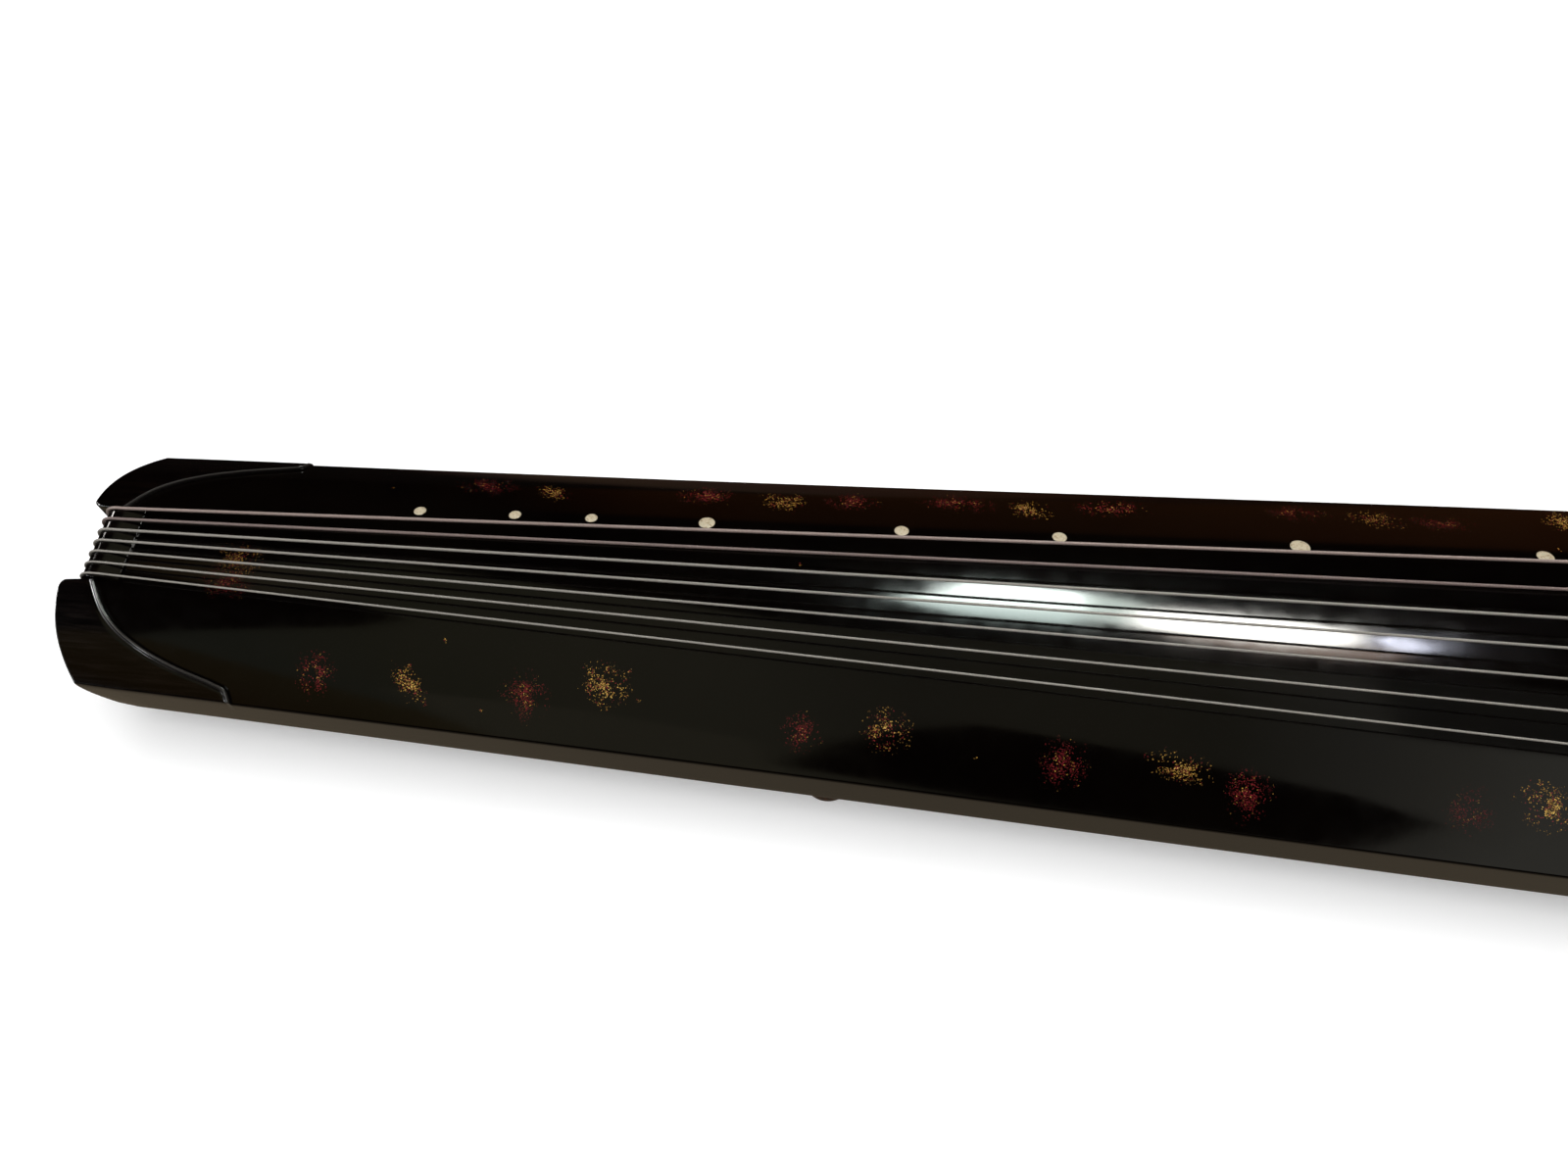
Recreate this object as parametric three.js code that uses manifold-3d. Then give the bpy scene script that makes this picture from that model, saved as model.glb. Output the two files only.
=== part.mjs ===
// A seven-string guqin: a hollow board zither of lacquered wood that lies on its feet.
// Lengths are millimetres and angles are radians. X runs from the tail to the head, Y towards the
// side with the shell studs (the far side from the player), and Z is up. The floor is at zero.
import * as THREE from "three";
import { mergeVertices } from "three/addons/utils/BufferGeometryUtils.js";
import Module from "manifold-3d";

const wasm = await Module();
wasm.setup();

// Clearance between pieces that touch, and how far a cutting tool runs past what it cuts.
const seat = 0.3;
const overrun = 6;

// The strings. Distances along the board are counted from the crest of the tail nut.
const strings = {
  length: 1120,
  diameters: [1.6, 1.5, 1.4, 1.3, 1.2, 1.1, 1.0],
  tailSpread: 36,
  bridgeSpread: 126,
  knotRadius: 2,
  farFootCount: 4,
  turnGap: 0.5,
  turnSteps: 16,
  windSteps: 30,
  bendSteps: 4,
  sides: 6,
};
const stringCount = strings.diameters.length;

// The body of two glued boards.
const body = {
  tailReach: 19.4,
  headReach: 93.4,
  shoulderHalf: 98.6,
  arris: 23,
  side: 24,
  dip: 5,
  headCorner: 14,
  bottomBoard: 9,
  undercut: 10.6,
  tailLean: 1.8,
};
// Half-width from the tail to the shoulder: share of the string length, share of the half-width at
// the shoulder.
const sidePlanShares = [
  [-0.02, 0.652],
  [0, 0.659],
  [0.15, 0.722],
  [0.3, 0.79],
  [0.45, 0.866],
  [0.6, 0.941],
  [0.71, 0.986],
  [0.77, 1],
];
// Half-width from there to the head: share of the string length, share of the way from the
// half-width at the shoulder to the one at the head.
const headPlanShares = [
  [0.84, 0.2],
  [0.9, 0.75],
  [0.955, 1.067],
  [1, 1.1],
  [1.045, 1.017],
  [1.09, 1],
];
const archPower = 2.2;
const leanEndShare = 0.27;
const dipStartShare = 0.72;
const bendStartShare = 0.6;

// The hollow between the boards.
const cavity = { top: 11, wall: 14, tailBlock: 45, headBlock: 45, plateau: 6, plateauMargin: 10 };

// The two sound holes in the bottom board, with the frames let in round them.
const dragonPond = { centreShare: 0.6225, length: 210, width: 28 };
const phoenixPool = { centreShare: 0.1875, length: 105, width: 25 };
const rim = { width: 4, depth: 4 };

// The tail: crown corners, nut and sill.
const notch = { beside: 1.3, face: 11, flare: 1.1, tipRound: 3.8 };
const crown = { length: 69, proud: 2, thick: 7, endPower: 2.1, cornerSetback: 12.6, tipFlat: 2 };
// Inner line of a crown corner: share of its length from the crest, share of the way to the edge.
const crownLineShares = [
  [-0.045, 0],
  [0.065, 0.26],
  [0.21, 0.475],
  [0.43, 0.645],
  [0.77, 0.805],
  [0.955, 0.92],
  [1, 1.04],
];
const nut = { front: 9, frontProud: 0.9, crest: 2.6, crestFront: 1, deep: 9, round: 4 };
const sill = { beyond: 2.7, front: 12, reach: 8, proud: 2, round: 5 };

// The head: bridge, apron, bores, pegs and guards.
const bridge = { thick: 12, top: 12.2, fall: 3.15, fromEdge: 8.77, endRun: 9, endHeight: 4, edge: 1 };
const apron = { length: 23, thick: 3.2 };
const bore = { radius: 2, apronShare: 0.5 };
const pond = { length: 148, width: 30, corner: 10, pocket: 6, plate: 3, besidePegs: 3.6 };
const peg = { aboveFloor: 3.4, radius: 7.4, boreRadius: 1.7, neckShare: 0.62, cordShare: 0.26 };
// Outline of a peg: share of its radius, share of its length down from the top.
const pegShares = [
  [0.94, 0],
  [1, 0.03],
  [0.97, 0.08],
  [peg.neckShare, 0.15],
  [peg.neckShare, 0.37],
  [0.86, 0.46],
  [0.92, 0.55],
  [0.82, 0.78],
  [0.93, 0.95],
  [0.86, 1],
];
const guard = { thick: 10, length: 40, footShare: 0.72, fromPond: 1.5, fromEdge: 1.27, edge: 1.5 };

// Silk cords that hold the strings' knots and twist on the pegs.
const silk = { diameter: 1.8, turnGap: 0.5, turnSteps: 12, windSteps: 15, sides: 5 };

// The goose feet, on which the strings are wound.
const foot = {
  placeShare: 0.31,
  fromEdge: 20.39,
  height: 28,
  neck: 9,
  base: 12.5,
  underTurns: 0.56,
  tenon: 6,
};
const footSocket = { depth: 21, blockHalf: 22, blockIn: 18 };
const footCollar = { radius: 11, height: 1 };

// The posts inside: share of the string length, and half their width.
const roundPost = { placeShare: 0.786, half: 6 };
const squarePost = { placeShare: 0.46, half: 6 };

// Shell studs at simple fractions of the string, counted from the head. They stand a little outside
// the first string, and the seventh is the largest.
const studPlaceShares = [
  7 / 8, 5 / 6, 4 / 5, 3 / 4, 2 / 3, 3 / 5, 1 / 2, 2 / 5, 1 / 3, 1 / 4, 1 / 5, 1 / 6, 1 / 8,
];
const studRadii = [3, 3, 3, 4, 3.4, 4, 4.7, 3.5, 3.5, 4, 3, 3, 3];
const studLine = { besideTail: 10, besideHead: 12.4, thick: 1.4, proud: 0.15 };

// Levels and places that follow from the sizes above.
const boardTop = foot.height + body.side + body.arris;
const underside = foot.height;
const joint = underside + body.bottomBoard;
const bodyLength = body.tailReach + strings.length + body.headReach;
const crestX = -bodyLength / 2 + body.tailReach;
const headEnd = strings.length + body.headReach;
const bridgeBack = strings.length + bridge.thick;
const apronStart = bridgeBack + seat;
const pegPlace = apronStart + apron.length * bore.apronShare;
const notchHalf = strings.tailSpread / 2 + notch.beside;
const sillHalf = notchHalf + sill.beyond;
const tipHalf = notchHalf + notch.flare;
const crownTip = tipHalf + notch.tipRound + crown.tipFlat;
const pegSpread = pond.length - 2 * (pond.besidePegs + peg.radius);
const guardPlace = pond.length / 2 + guard.fromPond + guard.thick / 2;
const headHalf = guardPlace + guard.thick / 2 + guard.fromEdge;
const bridgeHalf = headHalf - bridge.fromEdge;

// The centre of something in a row of strings, counted from the far side: 3, 2, 1, 0, -1, -2, -3.
function stringStep(index) {
  return (stringCount - 1) / 2 - index;
}
const tailPitch = strings.tailSpread / (stringCount - 1);
const bridgePitch = strings.bridgeSpread / (stringCount - 1);
const pegPitch = pegSpread / (stringCount - 1);

// A smooth value between the rows of a table: a cubic with slopes from the neighbouring rows.
function smoothShare(table, at) {
  const last = table.length - 1;
  if (at <= table[0][0]) return table[0][1];
  if (at >= table[last][0]) return table[last][1];
  const i = table.findIndex((row) => row[0] > at) - 1;
  const slope = (k) => {
    const a = table[Math.max(k - 1, 0)];
    const b = table[Math.min(k + 1, last)];
    return (b[1] - a[1]) / (b[0] - a[0]);
  };
  const step = table[i + 1][0] - table[i][0];
  const t = (at - table[i][0]) / step;
  const rise = table[i + 1][1] - table[i][1];
  const start = slope(i) * step;
  const end = slope(i + 1) * step;
  const squared = 3 * rise - 2 * start - end;
  const cubed = start + end - 2 * rise;
  return table[i][1] + t * (start + t * (squared + t * cubed));
}

const plan = [
  ...sidePlanShares.map(([along, out]) => [along, out * body.shoulderHalf]),
  ...headPlanShares.map(([along, out]) => [along, THREE.MathUtils.lerp(body.shoulderHalf, headHalf, out)]),
];

function halfWidth(s) {
  return smoothShare(plan, s / strings.length);
}

function dipAt(s) {
  const t = (s / strings.length - dipStartShare) / (1 - dipStartShare);
  return body.dip * THREE.MathUtils.smoothstep(t, 0, 1);
}

// Height of the arched top: level at both edges, dipping a little on the centre line at the head.
function topAt(s, y) {
  const dip = dipAt(s);
  return boardTop - dip - (body.arris - dip) * Math.pow(Math.abs(y) / halfWidth(s), archPower);
}

function spread(from, to, count) {
  return Array.from({ length: count + 1 }, (_, i) => from + ((to - from) * i) / count);
}

// A closed skin through rings with equal counts of points. The end rings are flat, and flat(point)
// gives their two plane coordinates.
function loft(rings, flat) {
  const count = rings[0].length;
  const points = rings.flat();
  const faces = [];
  for (let i = 0; i + 1 < rings.length; i++) {
    for (let j = 0; j < count; j++) {
      const a = i * count + j;
      const b = i * count + ((j + 1) % count);
      faces.push(a, b, b + count, a, b + count, a + count);
    }
  }
  const cap = (ring, first, side) => {
    const contour = ring.map(flat);
    const sign = Math.sign(THREE.ShapeUtils.area(contour)) * side;
    for (const [a, b, c] of THREE.ShapeUtils.triangulateShape(contour, [])) {
      const turn = Math.sign(THREE.ShapeUtils.area([contour[a], contour[b], contour[c]]));
      faces.push(first + a, ...(turn === sign ? [first + b, first + c] : [first + c, first + b]));
    }
  };
  cap(rings[0], 0, -1);
  cap(rings[rings.length - 1], points.length - count, 1);
  const geometry = new THREE.BufferGeometry().setFromPoints(points);
  geometry.setIndex(faces);
  return geometry;
}

// A closed mesh as a solid that can be joined and cut. A skin that is inside out is turned.
function solid(geometry) {
  const bare = geometry.clone();
  bare.deleteAttribute("normal");
  bare.deleteAttribute("uv");
  const merged = mergeVertices(bare);
  const make = (triVerts) =>
    new wasm.Manifold(
      new wasm.Mesh({ numProp: 3, vertProperties: merged.attributes.position.array, triVerts }),
    );
  const faces = new Uint32Array(merged.index.array);
  const made = make(faces);
  if (made.volume() > 0) return made;
  for (let i = 0; i < faces.length; i += 3) {
    [faces[i + 1], faces[i + 2]] = [faces[i + 2], faces[i + 1]];
  }
  return make(faces);
}

// A skin whose rings stand across the board at the stations: between two heights over each point.
function slab({ stations, half, top, bottom, across }) {
  const rings = stations.map((s) => {
    const sides = spread(-half(s), half(s), across);
    const upper = sides.map((y) => new THREE.Vector3(crestX + s, y, top(s, y)));
    const lower = sides.map((y) => new THREE.Vector3(crestX + s, y, bottom(s, y))).reverse();
    return [...upper, ...lower];
  });
  return solid(loft(rings, (p) => new THREE.Vector2(p.y, p.z)));
}

// An upright prism of a plan outline given in distances from the crest.
function prism(points, low, high) {
  const shape = new THREE.Shape(points.map(([s, y]) => new THREE.Vector2(crestX + s, y)));
  const geometry = new THREE.ExtrudeGeometry(shape, { depth: high - low, bevelEnabled: false });
  return solid(geometry.translate(0, 0, low));
}

// A profile of distance from the crest and height, carried across the board.
function acrossBoard(points, width, centre) {
  const shape = new THREE.Shape(points.map(([s, z]) => new THREE.Vector2(crestX + s, z)));
  const geometry = new THREE.ExtrudeGeometry(shape, { depth: width, bevelEnabled: false });
  geometry.rotateX(Math.PI / 2);
  return solid(geometry.translate(0, centre + width / 2, 0));
}

function cylinder(s, y, radius, low, high, sides) {
  const geometry = new THREE.CylinderGeometry(radius, radius, high - low, sides);
  geometry.rotateX(Math.PI / 2);
  return solid(geometry.translate(crestX + s, y, (low + high) / 2));
}

function block(s, y, sizeX, sizeY, low, high) {
  const geometry = new THREE.BoxGeometry(sizeX, sizeY, high - low);
  return solid(geometry.translate(crestX + s, y, (low + high) / 2));
}

// Points of an arc about a centre.
function arc(centreX, centreY, radius, from, to, steps) {
  return spread(from, to, steps).map((a) => [
    centreX + radius * Math.cos(a),
    centreY + radius * Math.sin(a),
  ]);
}

// A rectangle with round corners, as a plan outline.
function roundedOutline(centre, length, width, corner) {
  const dx = length / 2 - corner;
  const dy = width / 2 - corner;
  const quarter = Math.PI / 2;
  return [
    ...arc(centre + dx, dy, corner, 0, quarter, 6),
    ...arc(centre - dx, dy, corner, quarter, 2 * quarter, 6),
    ...arc(centre - dx, -dy, corner, 2 * quarter, 3 * quarter, 6),
    ...arc(centre + dx, -dy, corner, 3 * quarter, 4 * quarter, 6),
  ];
}

// How far the tail's end lies beyond the crest at a distance from the centre line.
function tailEnd(y) {
  const span = halfWidth(-body.tailReach) - crownTip;
  const share = Math.max(0, Math.abs(y) - crownTip) / span;
  return -body.tailReach + crown.cornerSetback * Math.pow(Math.min(share, 1), crown.endPower);
}

// Places along the sides at which plan and arch are worked out: closer together at the head.
const bendStart = bendStartShare * strings.length;
const sideStations = [
  ...spread(crown.cornerSetback, bendStart, 9),
  ...spread(bendStart, headEnd - body.headCorner, 13).slice(1),
];
const bodyStations = [-body.tailReach - overrun, 0, ...sideStations, headEnd, headEnd + overrun];

// Plan outline of the whole body, on the far side, from the notch to the head.
function farOutline(shift) {
  const points = [[-notch.face + shift, notchHalf]];
  const round = arc(
    -body.tailReach + notch.tipRound,
    tipHalf + notch.tipRound,
    notch.tipRound,
    1.5 * Math.PI,
    Math.PI,
    3,
  );
  points.push(...round.map(([s, y]) => [s + shift, y]));
  const corner = halfWidth(-body.tailReach);
  for (const y of spread(crownTip, corner, 6).slice(1)) {
    points.push([tailEnd(y) + shift, y]);
  }
  points.push(...sideStations.map((s) => [s, halfWidth(s)]));
  const endHalf = halfWidth(headEnd);
  const quarter = Math.PI / 2;
  const turn = arc(headEnd - body.headCorner, endHalf - body.headCorner, body.headCorner, quarter, 0, 5);
  points.push(...turn.slice(1));
  return points;
}

// How far a place on the plan's outline goes inwards at the underside, as the sides lean at the tail.
function leanAt(s, y) {
  const tailShare = 1 - s / (leanEndShare * strings.length);
  const outShare = (y - crownTip) / (halfWidth(s) - crownTip);
  return body.tailLean * Math.min(Math.max(tailShare, 0), 1) * Math.min(Math.max(outShare, 0), 1);
}

// The outer form of the body: its plan, with the tail's end and sides drawn in towards the underside.
function outerForm() {
  const start = boardTop - body.arris;
  const levels = [boardTop + overrun, ...spread(start, underside, 4)];
  const rings = levels.map((z) => {
    const depthShare = Math.max(0, start - z) / (start - underside);
    const shift = body.undercut * Math.pow(depthShare, 2);
    const far = farOutline(shift).map(([s, y]) => [s, y - depthShare * leanAt(s, y)]);
    const near = far.map(([s, y]) => [s, -y]).reverse();
    return [...far, ...near].map(([s, y]) => new THREE.Vector3(crestX + s, y, z));
  });
  return solid(loft(rings, (p) => new THREE.Vector2(p.x, p.y)));
}
const form = outerForm();

const archSteps = 16;

// Everything between two depths under the arched top, wider than the body.
function underArch(stations, above, below) {
  return slab({
    stations,
    half: (s) => halfWidth(s) + seat,
    top: (s, y) => topAt(s, y) + above,
    bottom: (s, y) => topAt(s, y) - below,
    across: archSteps,
  });
}

// Plan of a crown corner, on the far or near side, grown by a clearance towards the board.
function crownPlan(side, grow) {
  const line = crownLineShares.map(([along, out]) => {
    const s = along * crown.length;
    const y = notchHalf + out * (halfWidth(s) - notchHalf);
    return new THREE.Vector3(s, y, 0);
  });
  const curve = new THREE.CatmullRomCurve3(line, false, "centripetal");
  const inner = curve.getPoints(2 * line.length).map((p) => [p.x + grow, p.y - grow]);
  const edge = body.shoulderHalf;
  const outline = [
    [-body.tailReach - overrun, notchHalf - grow],
    ...inner,
    [crown.length + grow, edge],
    [-body.tailReach - overrun, edge],
  ];
  return outline.map(([s, y]) => [s, side * y]);
}

const crownStations = spread(-body.tailReach - overrun, crown.length + overrun, 6);

function crownCorner(side) {
  const plan = prism(crownPlan(side, 0), underside, boardTop + overrun);
  return underArch(crownStations, crown.proud, crown.thick).intersect(plan).intersect(form);
}

function crownSeat(side) {
  const plan = prism(crownPlan(side, seat), underside, boardTop + 2 * overrun);
  return underArch(crownStations, overrun, crown.thick + seat).intersect(plan);
}

// Profile of the nut: a low front, a flat crest and a round end over which the strings turn down.
function nutProfile(grow) {
  const crest = boardTop + nut.crest;
  const centreX = -notch.face + nut.round;
  const quarter = Math.PI / 2;
  return [
    [nut.front + grow, boardTop - nut.deep - grow],
    [nut.front + grow, boardTop + nut.frontProud],
    [nut.crestFront, crest],
    ...arc(centreX, crest - nut.round, nut.round, quarter, 2 * quarter, 5),
    [-notch.face, boardTop - nut.deep - grow],
  ];
}

function nutSeat() {
  const length = nut.front + seat + body.tailReach + overrun;
  const centre = nut.front + seat - length / 2;
  const width = 2 * notchHalf;
  return block(centre, 0, length, width, boardTop - nut.deep - seat, boardTop + overrun);
}

// Profile of the sill under the tail, with the round lower corner that the strings turn round.
function sillProfile() {
  const low = underside - sill.proud;
  const quarter = Math.PI / 2;
  return [
    [sill.front, joint - seat],
    [sill.front, low],
    ...arc(-sill.reach + sill.round, low + sill.round, sill.round, 3 * quarter, 2 * quarter, 5),
    [-sill.reach, joint - seat],
  ];
}

// The two sound holes: their plan, grown by a margin.
function holePlan(hole, margin) {
  const centre = hole.centreShare * strings.length;
  const width = hole.width + 2 * margin;
  return roundedOutline(centre, hole.length + 2 * margin, width, width / 2);
}

function pondPlan(margin) {
  const length = pond.length + 2 * margin;
  const width = pond.width + 2 * margin;
  const alongBoard = roundedOutline(0, length, width, pond.corner + margin);
  return alongBoard.map(([along, across]) => [pegPlace + across, along]);
}

const footPlace = foot.placeShare * strings.length;
const footOut = halfWidth(footPlace) - foot.fromEdge;

// The hollow cut out of the soundboard from below. It leaves a raised plateau over each sound hole
// and a block over each foot.
function cavityTool() {
  const ceiling = (s, y) => topAt(s, y) - cavity.top;
  let tool = slab({
    stations: spread(cavity.tailBlock, strings.length - cavity.headBlock, 12),
    half: (s) => halfWidth(s) - cavity.wall,
    top: ceiling,
    bottom: () => joint - overrun,
    across: 8,
  });
  for (const hole of [dragonPond, phoenixPool]) {
    const centre = hole.centreShare * strings.length;
    const reach = hole.length / 2 + cavity.plateauMargin;
    const plateau = slab({
      stations: spread(centre - reach, centre + reach, 2),
      half: () => hole.width / 2 + cavity.plateauMargin,
      top: () => boardTop,
      bottom: (s, y) => ceiling(s, y) - cavity.plateau,
      across: 4,
    });
    tool = tool.subtract(plateau);
  }
  for (const side of [-1, 1]) {
    const inner = footOut - footSocket.blockIn;
    const width = body.shoulderHalf - inner;
    const y = side * (inner + width / 2);
    tool = tool.subtract(block(footPlace, y, 2 * footSocket.blockHalf, width, 0, boardTop));
  }
  return tool;
}

// Place and tilt of a shell stud on the arch.
function studMatrix(share) {
  const s = share * strings.length;
  const tailY = strings.tailSpread / 2 + studLine.besideTail;
  const headY = strings.bridgeSpread / 2 + studLine.besideHead;
  const y = THREE.MathUtils.lerp(tailY, headY, share);
  const step = seat;
  const slope = (topAt(s, y + step) - topAt(s, y - step)) / (2 * step);
  const tilt = new THREE.Matrix4().makeRotationX(Math.PI / 2 + Math.atan(slope));
  return tilt.setPosition(crestX + s, y, topAt(s, y));
}

function studDisc(share, radius, above, below) {
  const geometry = new THREE.CylinderGeometry(radius, radius, above + below, 12);
  geometry.translate(0, (above - below) / 2, 0);
  return solid(geometry.applyMatrix4(studMatrix(share)));
}

function soundboard() {
  let board = slab({
    stations: bodyStations,
    half: (s) => halfWidth(s) + seat,
    top: topAt,
    bottom: () => joint,
    across: archSteps,
  }).intersect(form);
  board = board.subtract(cavityTool()).subtract(crownSeat(1)).subtract(crownSeat(-1)).subtract(nutSeat());
  const pocket = prism(pondPlan(0), joint - overrun, joint + pond.pocket);
  board = board.subtract(pocket);
  for (let i = 0; i < stringCount; i++) {
    const y = stringStep(i) * pegPitch;
    board = board.subtract(cylinder(pegPlace, y, bore.radius, joint - overrun, boardTop + overrun, 8));
  }
  for (const side of [-1, 1]) {
    const top = underside + footSocket.depth + seat;
    const socket = cylinder(footPlace, side * footOut, foot.tenon + seat, joint - overrun, top, 16);
    board = board.subtract(socket);
  }
  studPlaceShares.forEach((share, i) => {
    const pocketDisc = studDisc(share, studRadii[i] + seat, overrun, studLine.thick + seat);
    board = board.subtract(pocketDisc);
  });
  return board;
}

function bottomBoard() {
  const reach = bodyLength + 2 * overrun;
  const layer = block(-crestX, 0, reach, reach, underside, joint - seat);
  let board = form.intersect(layer);
  for (const hole of [dragonPond, phoenixPool]) {
    board = board.subtract(prism(holePlan(hole, 0), underside - overrun, joint + overrun));
    board = board.subtract(prism(holePlan(hole, rim.width), underside - overrun, underside + rim.depth));
  }
  board = board.subtract(prism(pondPlan(0), underside - overrun, joint + overrun));
  for (const side of [-1, 1]) {
    const low = underside - overrun;
    const hole = cylinder(footPlace, side * footOut, foot.tenon + seat, low, joint + overrun, 16);
    board = board.subtract(hole);
  }
  const length = sill.front + seat + body.tailReach + overrun;
  const centre = sill.front + seat - length / 2;
  const width = 2 * (sillHalf + seat);
  return board.subtract(block(centre, 0, length, width, underside - overrun, joint + overrun));
}

function holeRim(hole) {
  const low = underside;
  const high = underside + rim.depth - seat;
  const outer = prism(holePlan(hole, rim.width - seat), low, high);
  return outer.subtract(prism(holePlan(hole, 0), low - overrun, high + overrun));
}

// The bridge: it follows the arch below, its top is a flatter arch, and its ends round down.
function bridgeBody() {
  const top = (s, y) => {
    const crest = boardTop + bridge.top - bridge.fall * Math.pow(y / (strings.bridgeSpread / 2), 2);
    const past = Math.max(0, Math.abs(y) - (bridgeHalf - bridge.endRun)) / bridge.endRun;
    const end = topAt(s, bridgeHalf) + bridge.endHeight;
    const round = 1 - Math.sqrt(Math.max(0, 1 - past * past));
    return THREE.MathUtils.lerp(crest, end, round);
  };
  const front = strings.length;
  const edge = bridge.edge;
  return slab({
    stations: [front, front + edge, bridgeBack - edge, bridgeBack],
    half: () => bridgeHalf,
    top: (s, y) => top(s, y) - (s === front || s === bridgeBack ? edge : 0),
    bottom: (s, y) => topAt(s, y) + seat,
    across: 28,
  });
}

function bridgeApron() {
  let made = slab({
    stations: spread(apronStart, apronStart + apron.length, 2),
    half: () => bridgeHalf,
    top: (s, y) => topAt(s, y) + seat + apron.thick,
    bottom: (s, y) => topAt(s, y) + seat,
    across: 16,
  });
  for (let i = 0; i < stringCount; i++) {
    const y = stringStep(i) * pegPitch;
    made = made.subtract(cylinder(pegPlace, y, bore.radius, joint, boardTop + overrun, 8));
  }
  return made;
}

const plateTop = joint + pond.pocket - seat;
const plateBottom = plateTop - pond.plate;
const pegTop = plateBottom - seat;
const pegLength = pegTop - peg.aboveFloor;
const cordLevel = pegTop - peg.cordShare * pegLength;

function pondPlate() {
  let made = prism(pondPlan(-seat), plateBottom, plateTop);
  for (let i = 0; i < stringCount; i++) {
    const y = stringStep(i) * pegPitch;
    made = made.subtract(cylinder(pegPlace, y, bore.radius, underside, boardTop, 8));
  }
  return made;
}

// A turned peg with a bore down its axis, which comes out at the side of the neck.
function tuningPeg(index) {
  const profile = [
    new THREE.Vector2(0, -pegLength),
    ...pegShares.map(([r, z]) => new THREE.Vector2(r * peg.radius, -z * pegLength)).reverse(),
    new THREE.Vector2(0, 0),
  ];
  const turned = new THREE.LatheGeometry(profile, 16).rotateX(Math.PI / 2);
  const y = stringStep(index) * pegPitch;
  const grip = solid(turned.translate(crestX + pegPlace, y, pegTop));
  const down = cylinder(pegPlace, y, peg.boreRadius, cordLevel - silk.diameter, pegTop + overrun, 8);
  const out = new THREE.CylinderGeometry(peg.boreRadius, peg.boreRadius, peg.radius, 8);
  out.rotateZ(Math.PI / 2).translate(crestX + pegPlace + peg.radius / 2, y, cordLevel);
  return grip.subtract(down).subtract(solid(out));
}

// A block beside the pegs: a straight top, a narrower foot and hollow ends.
function pegGuard(side) {
  const high = underside - seat;
  const half = guard.length / 2;
  const footHalf = half * guard.footShare;
  const hollow = (sign) =>
    spread(0, 1, 6).map((t) => {
      const inward = (half - footHalf) * Math.sin((t * Math.PI) / 2);
      return [pegPlace + sign * (half - inward), high - guard.edge - t * (high - 2 * guard.edge)];
    });
  const profile = [
    [pegPlace + half, high],
    [pegPlace - half, high],
    ...hollow(-1),
    [pegPlace - footHalf + guard.edge, 0],
    [pegPlace + footHalf - guard.edge, 0],
    ...hollow(1).reverse(),
  ];
  return acrossBoard(profile, guard.thick, side * guardPlace);
}

// A route whose steps are the points chosen for it, and an unbroken tube along it.
class Route extends THREE.Curve {
  constructor(points) {
    super();
    this.points = points;
  }
  getPoint(t) {
    const i = Math.round(t * (this.points.length - 1));
    return this.points[i].clone();
  }
  getPointAt(u) {
    return this.getPoint(u);
  }
  getTangentAt(u) {
    const last = this.points.length - 1;
    const i = Math.round(u * last);
    const before = this.points[Math.max(i - 1, 0)];
    const after = this.points[Math.min(i + 1, last)];
    return after.clone().sub(before).normalize();
  }
}

function tube(points, radius, sides) {
  const corners = arc(0, 0, radius, 0, 2 * Math.PI, sides).slice(1);
  const section = new THREE.Shape(corners.map(([x, y]) => new THREE.Vector2(x, y)));
  return new THREE.ExtrudeGeometry(section, {
    steps: points.length - 1,
    extrudePath: new Route(points),
  });
}

// The least gap of a winding to itself, measured on the points of its centre line.
function leastGap(points, diameter, stepsApart) {
  let least = Infinity;
  points.forEach((a, i) => {
    points.slice(i + stepsApart).forEach((b) => {
      least = Math.min(least, a.distanceTo(b) - diameter);
    });
  });
  return least;
}

// How far a winding comes down in one turn, and in all its turns.
function turnPitch(index) {
  return strings.diameters[index] + strings.turnGap;
}
function windingFall(index) {
  return (turnPitch(index) * strings.windSteps) / strings.turnSteps;
}

// Heights at which the strings start on the neck of their foot: each lies close under the one before,
// whose last turn ends a little short of where the next one arrives.
function windingStart(index) {
  const first = index < strings.farFootCount ? 0 : strings.farFootCount;
  let z = underside - 2 * footCollar.height - strings.turnGap - strings.diameters[first] / 2;
  for (let i = first; i < index; i++) {
    const apart = (strings.diameters[i] + strings.diameters[i + 1]) / 2 + strings.turnGap;
    z -= windingFall(i) + apart - windingFall(i + 1) + turnPitch(i + 1);
  }
  return z;
}

// The base of a foot ends close under the last turn on the far foot, which carries more strings.
const lastOnFarFoot = strings.diameters.slice(0, strings.farFootCount).length - 1;
const lastTurn = windingStart(lastOnFarFoot) - windingFall(lastOnFarFoot);
const baseHeight = lastTurn - strings.diameters[lastOnFarFoot] / 2 - foot.underTurns;

function gooseFoot(side) {
  const profile = [
    [0, 0],
    [foot.base - footCollar.height, 0],
    [foot.base, footCollar.height],
    [foot.base, baseHeight / 2],
    [foot.neck + footCollar.height, baseHeight - footCollar.height],
    [foot.neck, baseHeight],
    [foot.neck, underside - 2 * footCollar.height],
    [footCollar.radius, underside - footCollar.height],
    [footCollar.radius, underside - seat],
    [foot.tenon, underside - seat],
    [foot.tenon, underside + footSocket.depth],
    [0, underside + footSocket.depth],
  ];
  const turned = new THREE.LatheGeometry(
    profile.map(([r, z]) => new THREE.Vector2(r, z)),
    20,
  );
  return turned.rotateX(Math.PI / 2).translate(crestX + footPlace, side * footOut, 0);
}

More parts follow.
